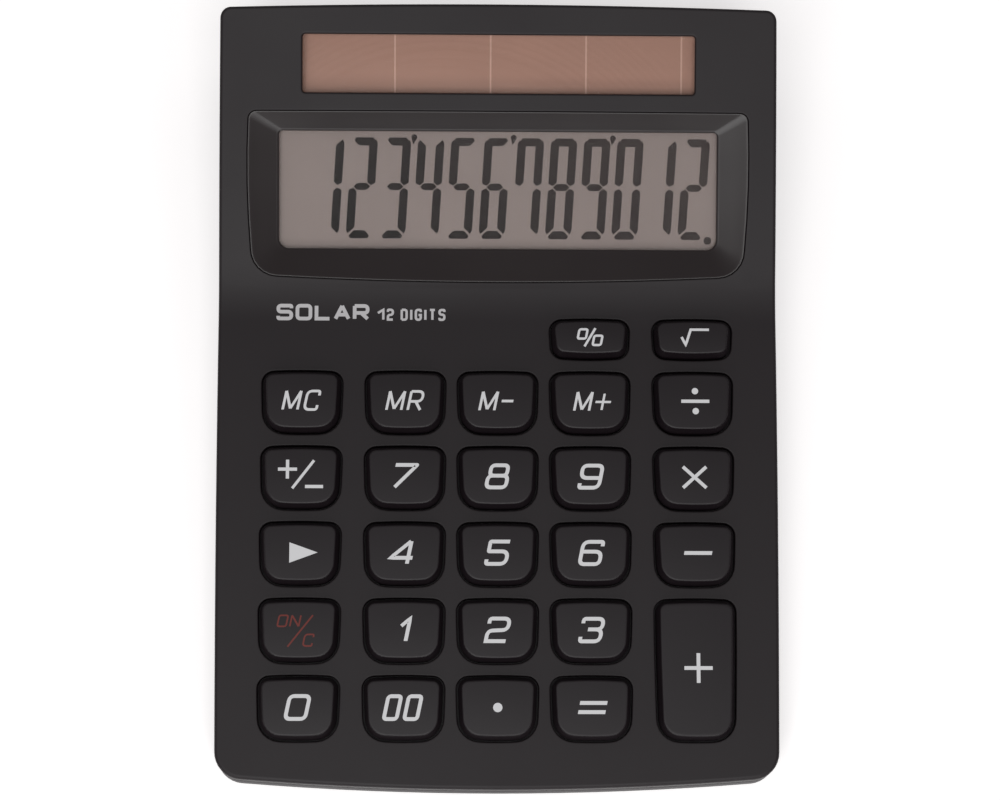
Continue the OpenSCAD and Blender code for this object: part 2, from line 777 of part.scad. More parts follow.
upper_case();
lower_case();
display_frame();
display_window();
solar_window();
solar_cell();
key_percent();
key_root();
key_memory_clear();
key_memory_recall();
key_memory_minus();
key_memory_plus();
key_divide();
key_sign();
key_7();
key_8();
key_9();
key_multiply();
key_right_shift();
key_4();
key_5();
key_6();
key_minus();
key_on_clear();
key_1();
key_2();
key_3();
key_plus();
key_0();
key_00();
key_point();
key_equals();
rubber_sheet();
rubber_domes();
main_board();
chip_cover();
buffer_capacitor();
chip_resistors();
front_polariser();
front_glass();
rear_glass();
rear_reflector();
lcd_holder();
lcd_ribbon();
solar_lead_red();
solar_lead_black();
case_screws();
inner_screws();
rubber_feet();
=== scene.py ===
# %% [markdown]
# # A solar desk calculator
# The calculator is a wedge-shaped case with a gently sloped deck of keys and a steeper deck
# for the display and the solar cell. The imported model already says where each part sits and
# how each key slides. This notebook dresses it: it builds the moulded shells, the key caps
# and the printed marks as meshes, and gives every part a finish made of shader nodes.
#
# Sizes are in millimetres, as on a maker's drawing, and become metres when a mesh is made.

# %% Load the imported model
import json
from math import atan, atan2, ceil, cos, degrees, pi, radians, sin, sqrt, tan

import bmesh
import bpy
from mathutils import Matrix, Vector, geometry

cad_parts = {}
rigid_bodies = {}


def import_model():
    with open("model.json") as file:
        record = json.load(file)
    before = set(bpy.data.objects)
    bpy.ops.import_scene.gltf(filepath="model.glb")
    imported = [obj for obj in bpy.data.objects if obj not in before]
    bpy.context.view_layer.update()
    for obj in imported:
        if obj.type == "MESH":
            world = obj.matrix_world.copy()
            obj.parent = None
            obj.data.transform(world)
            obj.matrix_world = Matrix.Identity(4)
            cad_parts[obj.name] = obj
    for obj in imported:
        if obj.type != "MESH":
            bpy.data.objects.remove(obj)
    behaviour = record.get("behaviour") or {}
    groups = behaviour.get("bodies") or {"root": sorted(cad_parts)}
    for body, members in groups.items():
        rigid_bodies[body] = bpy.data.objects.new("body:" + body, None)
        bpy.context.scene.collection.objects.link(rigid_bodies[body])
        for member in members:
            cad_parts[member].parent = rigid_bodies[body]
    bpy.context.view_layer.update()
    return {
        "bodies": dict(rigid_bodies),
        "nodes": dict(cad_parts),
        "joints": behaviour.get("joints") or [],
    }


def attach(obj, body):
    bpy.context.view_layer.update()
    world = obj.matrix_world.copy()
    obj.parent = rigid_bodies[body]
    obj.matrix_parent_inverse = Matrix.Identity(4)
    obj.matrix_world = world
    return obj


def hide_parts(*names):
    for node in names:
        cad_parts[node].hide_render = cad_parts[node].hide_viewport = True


MM = 0.001
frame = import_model()

# %% [markdown]
# ## The two decks
# Almost everything on the top is laid out on one of two flat decks that meet in a soft bend.
# A matrix for each deck lets a part be drawn flat, with x across, y towards the rear and z
# out of the deck, and then be carried to its place. The slopes are read from the model: a
# key slides square to its deck, and the solar cell lies flat on the other one.

# %% Deck places
CASE_W, CASE_L = 104.0, 143.0
FRONT_H = 9.0
DECK_L = 90.6
BEND_R = 40.0
slide = frame["joints"][0]["axis"]
key_slope = atan2(slide[1], -slide[2])
cell = frame["nodes"]["solar_cell"].data
widest = max(cell.polygons, key=lambda face: face.area)
display_slope = atan2(abs(widest.normal.y), abs(widest.normal.z))
bend_y = DECK_L - CASE_L / 2
bend_z = FRONT_H + DECK_L * tan(key_slope)


def deck(slope):
    return Matrix.Translation((0, bend_y, bend_z)) @ Matrix.Rotation(slope, 4, "X")


KEY_DECK, DISPLAY_DECK = deck(key_slope), deck(display_slope)
print(f"key deck {degrees(key_slope):.2f} degrees, display deck {degrees(display_slope):.2f} degrees")


# %% [markdown]
# The bend is a circular arc that touches both decks. `deck_z` gives the height of the deck,
# or of a surface a little below it such as the ceiling inside the shell, at any place along
# the case. `local_box` measures a part of the model in the deck's own directions.

# %% Heights and measures
def deck_z(y, depth=0.0):
    """Height of the surface that lies depth below the decks, at y."""
    run = BEND_R * tan((display_slope - key_slope) / 2)
    mid_y = bend_y - run * cos(key_slope) - BEND_R * sin(key_slope)
    mid_z = bend_z - run * sin(key_slope) + BEND_R * cos(key_slope)
    r = BEND_R + depth
    for slope, beyond in ((key_slope, y < mid_y + r * sin(key_slope)),
                          (display_slope, y > mid_y + r * sin(display_slope))):
        if beyond:
            return mid_z - r * cos(slope) + (y - mid_y - r * sin(slope)) * tan(slope)
    return mid_z - sqrt(r * r - (y - mid_y) ** 2)


def local_box(node, place):
    """Lowest and highest corner of a part in a deck's own directions, in millimetres."""
    back = place.inverted()
    points = [back @ (v.co / MM) for v in frame["nodes"][node].data.vertices]
    return [Vector([pick(p[i] for p in points) for i in range(3)]) for pick in (min, max)]


print(f"front edge {deck_z(-CASE_L / 2):.1f} mm, rear edge {deck_z(CASE_L / 2):.1f} mm high")

# %% [markdown]
# ## Camera, floor and light
# A long lens looks down on the calculator from a little in front, so that its sides stay
# nearly parallel. The floor is a plain pale sheet. One large soft panel stands over the
# front, which lights the display deck more than the flatter key deck, and a weak panel on
# each side lifts the edges. The sky is a dim even white.

# %% Camera
eye = Vector((-10.0, -119.45, 491.2)) * MM
tilt, yaw, roll = radians(14.035), radians(1.215), radians(0.236)
ahead = Vector((0, sin(tilt), -cos(tilt)))
across, upward = Vector((1, 0, 0)), Vector((0, cos(tilt), sin(tilt)))
aim = ahead * cos(yaw) + across * sin(yaw)
level = across * cos(yaw) - ahead * sin(yaw)
right = level * cos(roll) + upward * sin(roll)
up = upward * cos(roll) - level * sin(roll)
lens = bpy.data.cameras.new("camera")
lens.lens, lens.sensor_width = 95.5, 36
camera = bpy.data.objects.new("camera", lens)
camera.matrix_world = Matrix.Translation(eye) @ Matrix((right, up, -aim)).transposed().to_4x4()
bpy.context.scene.collection.objects.link(camera)
bpy.context.scene.camera = camera
print(f"camera {eye.length / MM:.0f} mm away with a {lens.lens:.0f} mm lens")


# %% [markdown]
# The panels are square and face the middle of the floor. The floor lies a twentieth of a
# millimetre under the feet, so that it never cuts into them.

# %% Floor and light
FLOOR_GAP, FLOOR_HALF = 0.05, 2.5


def panel(name, place, size, watts, target=(0, 0, 0)):
    """A square soft light that faces a point."""
    lamp = bpy.data.lights.new(name, "AREA")
    lamp.size, lamp.energy = size, watts
    lamp.use_shadow = True
    stand = bpy.data.objects.new(name, lamp)
    stand.location = place
    stand.rotation_euler = (Vector(target) - Vector(place)).to_track_quat("-Z", "Y").to_euler()
    bpy.context.scene.collection.objects.link(stand)


panel("front_panel", (-0.1, -0.62, 1.15), 0.9, 8)
for side_x in (-0.42, 0.42):
    panel("low_panel", (side_x, -1.0, 0.5), 0.3, 1.2)
sky = bpy.data.worlds.new("sky")
sky.use_nodes = True
sky.node_tree.nodes["Background"].inputs["Color"].default_value = (1.0, 0.985, 0.985, 1)
sky.node_tree.nodes["Background"].inputs["Strength"].default_value = 0.3
bpy.context.scene.world = sky
bpy.context.scene.view_settings.view_transform = "Standard"
sheet = bmesh.new()
bmesh.ops.create_grid(sheet, x_segments=2, y_segments=2, size=FLOOR_HALF)
floor = bpy.data.objects.new("floor", bpy.data.meshes.new("floor"))
sheet.to_mesh(floor.data)
bpy.context.scene.collection.objects.link(floor)
floor.location.z = -FLOOR_GAP * MM
print("three soft panels, a dim sky and a floor")


# %% [markdown]
# ## Finishes
# A finish is a small tree of shader nodes. Moulded plastic is never one flat colour: the
# mould is etched, so the surface has a fine grain that scatters light, and its shade drifts
# a little over a hand's width. `finish` builds that tree from a few numbers: a colour, a
# roughness, and the size and depth of the grain. Object coordinates are used, so the grain
# keeps its real size on every part.

# %% Finish helper
CLOUD, CLOUD_DETAIL, ETCH_DETAIL = 45, 3, 2
ETCH_DEPTH, SHEEN = 0.6, 0.06


def linear(r, g, b):
    """A colour given as 0 to 255 display values, as the linear values that a shader takes."""
    shares = (c / 255 for c in (r, g, b))
    return tuple(((c + 0.055) / 1.055) ** 2.4 if c > 10 / 255 else c / 12.92 for c in shares) + (1,)


def join(tree, *links):
    """Joins sockets, each link given as (output, input)."""
    for source, target in links:
        tree.links.new(source, target)


def finish(name, colour, rough, grain=0.25, depth=0.012, drift=0.12, gloss=0.5, **extra):
    """A plastic-like finish: grain is the size of its texture and depth its height, both in mm."""
    material = bpy.data.materials.new(name)
    material.use_nodes = True
    tree = material.node_tree
    shader = tree.nodes["Principled BSDF"]
    place = tree.nodes.new("ShaderNodeTexCoord")
    cloud = tree.nodes.new("ShaderNodeTexNoise")
    cloud.inputs["Scale"].default_value = CLOUD
    cloud.inputs["Detail"].default_value = CLOUD_DETAIL
    shade = tree.nodes.new("ShaderNodeMix")
    shade.data_type = "RGBA"
    base = linear(*colour)
    shade.inputs["A"].default_value = tuple(c * (1 - drift) for c in base[:3]) + (1,)
    shade.inputs["B"].default_value = tuple(min(1, c * (1 + drift)) for c in base[:3]) + (1,)
    etch = tree.nodes.new("ShaderNodeTexNoise")
    etch.inputs["Scale"].default_value = 1 / (grain * MM)
    etch.inputs["Detail"].default_value = ETCH_DETAIL
    relief = tree.nodes.new("ShaderNodeBump")
    relief.inputs["Strength"].default_value = ETCH_DEPTH
    relief.inputs["Distance"].default_value = depth * MM
    sheen = tree.nodes.new("ShaderNodeMapRange")
    sheen.inputs["To Min"].default_value = max(0.02, rough - SHEEN)
    sheen.inputs["To Max"].default_value = rough + SHEEN
    spot, cloudy = place.outputs["Object"], cloud.outputs["Fac"]
    join(tree, (spot, cloud.inputs["Vector"]), (spot, etch.inputs["Vector"]),
         (cloudy, shade.inputs["Factor"]), (shade.outputs["Result"], shader.inputs["Base Color"]),
         (etch.outputs["Fac"], relief.inputs["Height"]), (relief.outputs["Normal"], shader.inputs["Normal"]),
         (cloudy, sheen.inputs["Value"]), (sheen.outputs["Result"], shader.inputs["Roughness"]))
    shader.inputs["Specular IOR Level"].default_value = gloss
    for socket, value in extra.items():
        shader.inputs[socket.replace("_", " ")].default_value = value
    return material


FLOOR = finish("pale_floor", (248, 246, 246), 0.8, grain=1.5, depth=0.02, drift=0.01, gloss=0.1,
               Emission_Color=(1, 0.99, 0.99, 1), Emission_Strength=0.42)
floor.data.materials.append(FLOOR)
CASE = finish("case_plastic", (22, 14, 18), 0.5, grain=0.22, depth=0.014, drift=0.1, gloss=0.4)
CASE_BOTTOM = finish("lower_case_plastic", (28, 23, 26), 0.5, grain=0.22, depth=0.014, drift=0.1, gloss=0.4)
KEY = finish("key_plastic", (20, 12, 17), 0.42, grain=0.18, depth=0.008, drift=0.08, gloss=0.4)
FRAME_GLOSS = finish("frame_gloss", (30, 22, 23), 0.3, grain=0.4, depth=0.003, drift=0.1, gloss=0.5)
PRINT = finish("white_print", (222, 222, 224), 0.5, grain=0.1, depth=0.004, drift=0.03, gloss=0.3)
DECK_PRINT = finish("grey_print", (196, 194, 196), 0.5, grain=0.1, depth=0.004, drift=0.03, gloss=0.3)
RED_PRINT = finish("red_print", (112, 48, 42), 0.5, grain=0.1, depth=0.004, drift=0.05, gloss=0.3)
print(len(bpy.data.materials), "finishes so far")


# %% [markdown]
# ## Outlines
# The case, the frame and the keys share one kind of outline: a rounded tile whose edges
# bulge a little, as moulded parts do so that they don't look hollow. One formula gives them
# all. Because it always returns the same number of points, an outline that is set in by a
# millimetre can be joined point for point to the one outside it.

# %% Rounded tile
def arc(cx, cy, r, start, end, steps):
    turns = [start + (end - start) * i / steps for i in range(steps + 1)]
    return [(cx + r * cos(a), cy + r * sin(a)) for a in turns]


def tile(w, l, r, bow, side=0.0, wide=0.0, steps=6, sides=3):
    """A rounded tile; r and bow are (front, back), and the sides are widest at y = wide."""
    half = w / 2

    def side_x(y):
        return half - side * ((y - wide) / (l / 2)) ** 2

    fx, bx = side_x(bow[0] + r[0] - l / 2) - r[0], side_x(l / 2 - bow[1] - r[1]) - r[1]
    fa, ba = atan(2 * bow[0] * fx / half ** 2), atan(2 * bow[1] * bx / half ** 2)
    fxe, bxe = fx + r[0] * sin(fa), bx + r[1] * sin(ba)
    front = [(fxe * i / steps, bow[0] * (fxe * i / steps / half) ** 2 - l / 2) for i in range(steps + 1)]
    back = [(bxe * i / steps, l / 2 - bow[1] * (bxe * i / steps / half) ** 2) for i in range(steps, -1, -1)]
    fy, by = front[-1][1] + r[0] * cos(fa), back[0][1] - r[1] * cos(ba)
    ys = [fy + (by - fy) * (i + 1) / (sides + 1) for i in range(sides)] if isinstance(sides, int) else sides
    walls = [(side_x(y), y) for y in ys]
    half_way = (front[:-1] + arc(fx, fy, r[0], fa - pi / 2, 0, steps) + walls
                + arc(bx, by, r[1], 0, pi / 2 - ba, steps) + back[1:])
    return half_way + [(-x, y) for x, y in reversed(half_way[1:-1])]


print("a plain tile has", len(tile(10, 10, (2, 2), (0, 0))), "points")


# %% [markdown]
# ## A moulding, ring by ring
# A moulded part is drawn as its maker sees it in section: a line that runs round the wall.
# Each point of the section becomes a ring that follows the outline, and each ring is joined
# to the next. Flat areas with openings are filled by a constrained triangulation, which
# keeps every opening's edge. A rounded edge is a few rings on a quarter circle, and one
# more ring close behind it keeps the flat beyond it flat in the light.

# %% Moulding helper
class Moulding:
    """One closed surface made of rings of points, in millimetres."""

    def __init__(self, place=Matrix()):
        self.bm, self.place = bmesh.new(), place

    def ring(self, points, z):
        """A ring of flat points at a height, which is a number or a function of x and y."""
        lift = z if callable(z) else lambda x, y: z
        return [self.bm.verts.new(self.place @ Vector((x, y, lift(x, y)))) for x, y in points]

    def sweep(self, rings, closed=False):
        """Joins each ring, given as (points, z), to the next; returns the first and the last."""
        made = [self.ring(points, z) for points, z in rings]
        for a, b in zip(made, made[1:] + made[:1] if closed else made[1:]):
            for i in range(len(a)):
                self.bm.faces.new((a[i - 1], a[i], b[i], b[i - 1]))
        return made[0], made[-1]

    def fill(self, outer, holes=(), rows=(), lift=None):
        """Fills the area between a ring and its holes, seen from above; rows are lines to follow."""
        known = [v for loop in (outer, *holes) for v in loop]
        flat, edges, loops, start = [v.co.xy for v in known], [], [], 0
        for loop in (outer, *holes):
            loops.append(list(range(start, start + len(loop))))
            start += len(loop)
        for row in rows:
            edges += [(len(flat) + i, len(flat) + i + 1) for i in range(len(row) - 1)]
            flat += [Vector(p) for p in row]
        out = geometry.delaunay_2d_cdt(flat, edges, loops, 1, 1e-6, True)
        corners = []
        for spot, origin in zip(out[0], out[3]):
            old = [i for i in origin if i < len(known)]
            corners.append(known[old[0]] if old else self.bm.verts.new((*spot, lift(spot.y))))
        for face, inside in zip(out[2], out[5]):
            if inside == [0]:
                self.bm.faces.new([corners[i] for i in face])

    def cap(self, *rings):
        """Closes rings with one flat face each."""
        for ring in rings:
            self.bm.faces.new(ring)

    def tube(self, place, outer_r, inner_r, low, high, steps=28):
        """A closed sleeve, such as a screw boss, standing in the part."""
        keep, self.place = self.place, place
        wide, narrow = (arc(0, 0, r, 0, 2 * pi * (1 - 1 / steps), steps - 1) for r in (outer_r, inner_r))
        self.sweep([(wide, low), (wide, high), (narrow, high), (narrow, low)], closed=True)
        self.place = keep

    def finish(self, name, material, body, *stands_for, slot=None, crease=38):
        """Turns the rings into a Blender object that rides on a body of the model."""
        bmesh.ops.remove_doubles(self.bm, verts=self.bm.verts, dist=1e-4)
        bmesh.ops.recalc_face_normals(self.bm, faces=self.bm.faces)
        open_edges = sum(not e.is_manifold for e in self.bm.edges)
        mesh = bpy.data.meshes.new(name)
        self.bm.to_mesh(mesh)
        self.bm.free()
        mesh.transform(Matrix.Scale(MM, 4))
        return dress(mesh, name, material, body, *stands_for,
                     slot=slot, crease=crease, open_edges=open_edges)


def dress(mesh, name, material, body, *stands_for, slot=None, crease=38, open_edges=0):
    """Makes a piece of a mesh: its finish, its shading, and the body that it rides on."""
    mesh.materials.clear()
    mesh.materials.append(material)
    mesh.shade_smooth()
    mesh.set_sharp_from_angle(angle=radians(crease))
    piece = bpy.data.objects.new(name, mesh)
    bpy.context.scene.collection.objects.link(piece)
    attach(piece, body)
    if stands_for:
        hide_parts(*stands_for)
    if open_edges:
        print(name, "has", open_edges, "open edges")
    return piece


def rounded(outline, r, way=1, steps=5, flat=0.15):
    """Rings of a quarter-round edge and how far each lies below the flat, from the wall inwards.

    outline takes one number, and way says whether it rises or falls towards the flat."""
    turns = [pi / 2 * i / steps for i in range(steps + 1)]
    rings = [(outline(way * r * (1 - cos(a))), r * (1 - sin(a))) for a in turns]
    return rings + [(outline(way * (r + flat)), 0.0)]


# %% [markdown]
# ## The upper shell
# The top of the case is one moulding, two millimetres thick, with an opening for each key,
# a shallow pocket for the display frame and a slot for the solar window. Its edge runs down
# to the parting line, where it meets the lower shell. The openings have soft edges, because
# a mould with sharp ones would chip and the plastic would feel rough.

# %% Upper shell sizes
WALL, DECK_T = 2.0, 1.8
PARTING_H = 6.4
EDGE_R = 0.6
TRIM = 0.02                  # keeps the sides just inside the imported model's box
CASE_CORNERS, CASE_BOWS = (5, 2), (2.3, 0.8)
SIDE_BOW, WIDEST = 0.5, 0.14
SIDE_YS = [-56, -44, -32, -20, -10, 0, 8] + [13 + 0.9 * i for i in range(14)] + [30, 40, 50, 60]
BAY_W, KEY_GAP, FLANGE_W = 15.0, 0.3, 0.65
SHORT_KEY, TALL_KEY = 10, 20
SHORT_CORNER, KEY_CORNER, BACK_CORNER = 2.4, 4.2, 2.2
FRAME_W, FRAME_L, FRAME_START = 93.4, 31.7, 3.0
SEAT_GAP, POCKET = 0.1, 1.0
WINDOW_W, WINDOW_L, WINDOW_MID = 81.8, 21.9, 20.1
SOLAR_W, SOLAR_L, SOLAR_MID = 73.1, 10.9, 43.5
KEYS = {body: local_box(body, KEY_DECK) for body in frame["bodies"] if body.startswith("key_")}


def case_outline(inset):
    return tile(CASE_W - TRIM - 2 * inset, CASE_L - 2 * inset, [max(r - inset, 0.6) for r in CASE_CORNERS],
                CASE_BOWS, SIDE_BOW, WIDEST * CASE_L, 8, SIDE_YS)


def key_size(body):
    """Middle x, middle y, opening length and front corner radius of a key."""
    lo, hi = KEYS[body]
    length = hi.y - lo.y - 2 * FLANGE_W
    return (lo.x + hi.x) / 2, (lo.y + hi.y) / 2, length, SHORT_CORNER if length < SHORT_KEY else KEY_CORNER


def key_outline(length, front_r):
    """The outline of an opening, as a function of how far it grows on every side."""
    return lambda grow: tile(BAY_W + 2 * grow, length + 2 * grow, (front_r + grow, BACK_CORNER + grow),
                             (0.45, 0.28), 0.12, length / 2)


def frame_outline(grow):
    return tile(FRAME_W + 2 * grow, FRAME_L + 2 * grow, (5 + grow, 1.5 + grow), (1.3, 0.1), 0.7, 6)


def solar_outline(grow):
    return tile(SOLAR_W + 2 * grow, SOLAR_L + 2 * grow, (0.6 + grow, 0.6 + grow), (0, 0))


print("the shell has", len(KEYS), "key openings")


# %% [markdown]
# Each opening is a short sweep from the top of the deck to the ceiling. The pocket for the
# display frame has a ledge on the way down, on which the frame rests.

# %% Openings in the deck
ROW_CLEAR, ROW_STEP, ROW_PITCH, ROW_SIDE = 0.4, 2.1, 0.68, 2.4


def opening(shell, place, outline, r, ledge=0.0):
    """Cuts an opening; returns its ring in the deck and its ring in the ceiling."""
    keep, shell.place = shell.place, place
    rings = [(points, -drop) for points, drop in reversed(rounded(outline, r))]
    if ledge:
        rings += [(outline(0), -POCKET), (outline(-ledge), -POCKET), (outline(-ledge), -DECK_T)]
    else:
        rings += [(outline(0), -DECK_T)]
    made = shell.sweep(rings)
    shell.place = keep
    return made


def clear_runs(y, holes):
    """Points across the case at y, in runs that keep clear of the holes."""
    boxes = [(min(v.co.x for v in h) - ROW_CLEAR, max(v.co.x for v in h) + ROW_CLEAR,
              min(v.co.y for v in h) - ROW_CLEAR, max(v.co.y for v in h) + ROW_CLEAR) for h in holes]
    runs = [[]]
    for i in range(-24, 25):
        x = i * ROW_STEP
        if any(x0 < x < x1 and y0 < y < y1 for x0, x1, y0, y1 in boxes):
            runs.append([])
        else:
            runs[-1].append((x, y))
    return [run for run in runs if len(run) > 1]


def at(x, y, z=0):
    return Matrix.Translation((x, y, z))


print("the openings are", DECK_T, "mm deep")


# %% [markdown]
# The shell is one sweep from the ceiling inside, over the foot of the wall, up to the top.
# Both decks are then filled in, with rows of points along the bend so that it stays round.
# Sleeves for the screws stand under the decks: six that meet the lower shell, six that hold
# the board and four that hold the display.

# %% Upper shell
SCREWS = [(s * x, y) for s in (-1, 1) for x, y in ((46.9, -63.0), (47.6, 17.8), (46.6, 65.5))]
BOARD_POSTS = [(s * 26.65, y) for s in (-1, 1) for y in (-12.8, -41.05, -82.4)]
HOLDER_POSTS = [(s * 47.8, y) for s in (-1, 1) for y in (13.2, 29.2)]
BOSS_SEAT, BOSS_R = 4.6, 2.3
POST_R, POST_HOLE_R = 1.5, 0.85
shell = Moulding()
inner_top, deck_edge = shell.sweep(
    [(case_outline(WALL), lambda x, y: deck_z(y, DECK_T)), (case_outline(WALL), PARTING_H),
     (case_outline(0.3), PARTING_H), (case_outline(0.09), PARTING_H + 0.09),
     (case_outline(0), PARTING_H + 0.3)]
    + [(points, lambda x, y, drop=drop: deck_z(y) - drop) for points, drop in rounded(case_outline, EDGE_R)])
holes = []
for body in KEYS:
    x, y, length, front_r = key_size(body)
    holes.append(opening(shell, KEY_DECK @ at(x, y), key_outline(length, front_r), 0.25))
pocket_place = DISPLAY_DECK @ at(0, FRAME_START + FRAME_L / 2)
holes.append(opening(shell, pocket_place, lambda grow: frame_outline(grow + SEAT_GAP), 0.15, ledge=1.2))
holes.append(opening(shell, DISPLAY_DECK @ at(0, SOLAR_MID), solar_outline, 0.3))
for edge, openings, depth in ((deck_edge, [h[0] for h in holes], 0.0),
                              (inner_top, [h[1] for h in holes], DECK_T)):
    rows = [run for i in range(-7, 8) for run in clear_runs(bend_y + i * ROW_PITCH, openings)]
    rows = [[p for p in run if abs(p[0]) < CASE_W / 2 - ROW_SIDE] for run in rows]
    shell.fill(edge, openings, [run for run in rows if len(run) > 1], lambda y, depth=depth: deck_z(y, depth))
for x, y in SCREWS:
    shell.tube(at(x, y), BOSS_R, 1.15, BOSS_SEAT, deck_z(y) - DECK_T / 2)
for place, posts, low in ((KEY_DECK, BOARD_POSTS, -4.7), (DISPLAY_DECK, HOLDER_POSTS, -4.4)):
    for x, y in posts:
        shell.tube(place @ at(x, y), POST_R, POST_HOLE_R, low, -DECK_T / 2)
upper = shell.finish("upper_shell", CASE, "case", "upper_case", slot="case")
print("upper shell:", len(upper.data.polygons), "faces")

# %% [markdown]
# ## The lower shell
# The bottom is a shallow tray. Its wall stops at a fine groove under the upper shell, which
# hides any mismatch between the two mouldings, and a lip inside keeps them in line. The
# underside has a recess for each rubber foot and a counterbore for each screw.

# %% Lower shell
FOOT_RISE, FLOOR_T = 1.0, 1.6
FEET = [(sx * 37.0, sy * 57.5) for sx in (-1, 1) for sy in (-1, 1)]
LIP_IN, LIP_T, LIP_H, GROOVE, UNDER_R = 2.15, 1.0, 1.6, 0.4, 0.45
SOCKET_R, SOCKET_H = 4.6, 0.8
HEAD_HOLE_R, SHANK_HOLE_R, COUNTERBORE = 2.2, 1.25, 1.4
tray = Moulding()
floor_z = FOOT_RISE + FLOOR_T


def lip_top(x, y):
    return min(PARTING_H + LIP_H, deck_z(y, DECK_T + 0.3))


under_edge = [(points, FOOT_RISE + drop)
              for points, drop in reversed(rounded(case_outline, UNDER_R, flat=0.08))]
wall_top = PARTING_H - GROOVE
bottom, inside = tray.sweep(
    under_edge + [(case_outline(0), wall_top - 0.15), (case_outline(0.04), wall_top - 0.04),
                  (case_outline(0.15), wall_top), (case_outline(GROOVE), wall_top),
                  (case_outline(GROOVE), PARTING_H), (case_outline(LIP_IN), PARTING_H),
                  (case_outline(LIP_IN), lip_top),
                  (case_outline(LIP_IN + LIP_T), lip_top), (case_outline(LIP_IN + LIP_T), PARTING_H - 1.2),
                  (case_outline(WALL), PARTING_H - 1.2), (case_outline(WALL), floor_z)])


def disc(x, y, r, steps=32):
    return [(x + px, y + py) for px, py in arc(0, 0, r, 0, 2 * pi * (1 - 1 / steps), steps - 1)]


under_holes = []
for x, y in FEET:
    socket = disc(x, y, SOCKET_R)
    mouth, roof = tray.sweep([(disc(x, y, SOCKET_R + 0.15), FOOT_RISE), (socket, FOOT_RISE + 0.12),
                              (socket, FOOT_RISE + SOCKET_H)])
    under_holes.append(mouth)
    tray.cap(roof)
for x, y in SCREWS:
    head_hole, shank_hole = disc(x, y, HEAD_HOLE_R), disc(x, y, SHANK_HOLE_R)
    mouth, end = tray.sweep([(disc(x, y, HEAD_HOLE_R + 0.05), FOOT_RISE), (head_hole, FOOT_RISE + 0.06),
                             (head_hole, FOOT_RISE + COUNTERBORE), (shank_hole, FOOT_RISE + COUNTERBORE),
                             (shank_hole, floor_z - 0.1)])
    under_holes.append(mouth)
    tray.cap(end)
    tray.tube(at(x, y), BOSS_R, SHANK_HOLE_R, floor_z - 0.2, BOSS_SEAT - SEAT_GAP)
tray.fill(bottom, under_holes)
tray.fill(inside)
lower = tray.finish("lower_shell", CASE_BOTTOM, "case", "lower_case", slot="case_bottom")
print("lower shell:", len(lower.data.polygons), "faces")

# %% [markdown]
# ## The display frame
# The frame is a separate, glossier moulding. Its four borders slope down to the window like
# a picture frame, so its outline has to change from a bulged tile at the rim to a nearly
# square opening at the glass. Both outlines have the same number of points, so the slopes
# and their mitred corners come from joining one to the other.

# %% Display frame
FRAME_DISH, RIM = 1.4, 0.14
WINDOW_TOP, WINDOW_UNDER = -1.8, -2.8


def window_outline(grow):
    corners = [max(r + grow, 0.3) for r in (1.8, 0.7)]
    points = tile(WINDOW_W + 2 * grow, WINDOW_L + 2 * grow, corners, (0, 0))
    return [(x, y + WINDOW_MID - FRAME_START - FRAME_L / 2) for x, y in points]


def between(a, b, share):
    """The outline part way from one outline to another."""
    return [(ax + (bx - ax) * share, ay + (by - ay) * share) for (ax, ay), (bx, by) in zip(a, b)]


border = Moulding(pocket_place)
rim, mouth = frame_outline(-RIM), window_outline(0.3)
section = [(frame_outline(-1.3), WINDOW_UNDER), (frame_outline(-1.3), -POCKET), (frame_outline(0), -POCKET)]
section += [(points, -drop) for points, drop in rounded(frame_outline, 0.07, way=-1, flat=0.03)]
section += [(rim, 0.0), (between(rim, mouth, 0.02), -0.02), (between(rim, mouth, 0.05), -0.06)]
section += [(between(rim, mouth, t), -FRAME_DISH * t) for t in (0.12, 0.5, 0.94, 0.985)]
section += [(window_outline(0.14), -FRAME_DISH - 0.02), (window_outline(0.04), -FRAME_DISH - 0.09),
            (window_outline(0), -FRAME_DISH - 0.22), (window_outline(0), WINDOW_TOP),
            (window_outline(1.1), WINDOW_TOP), (window_outline(1.1), WINDOW_UNDER)]
border.sweep(section, closed=True)
border.finish("display_surround", FRAME_GLOSS, "case", "display_frame", slot="frame_gloss", crease=30)
print("display surround:", len(section), "rings")

# %% [markdown]
# ## Key caps
# Each of the twenty-six caps slides in its own opening. A cap is a thin cup with its mouth
# down: a flange under the deck keeps it in, its walls lean in a little above the deck, its
# top edge is rounded, and its top is crowned by a tenth of a millimetre so that a fingertip
# finds the middle. `top_z` is that crowned surface, and the prints follow it.

# %% Key cap shape
KEY_RISE, KEY_LEAN, KEY_WALL = 2.3, 0.7, 1.0
FLANGE_Z, FLANGE_T, SHOULDER = -2.65, 0.7, 0.3
KEY_EDGE, CROWN = 0.3, 0.14
STEM_LOW, STEM_R, TALL_STEM = -1.55, 1.1, 7.05


def crown(length):
    """The crowned top of a key, as a function of the place on it."""
    half_w, half_l = BAY_W / 2 - KEY_GAP - KEY_LEAN, length / 2 - KEY_GAP - KEY_LEAN
    return lambda x, y: KEY_RISE - CROWN * ((x / half_w) ** 2 + (y / half_l) ** 2) / 2


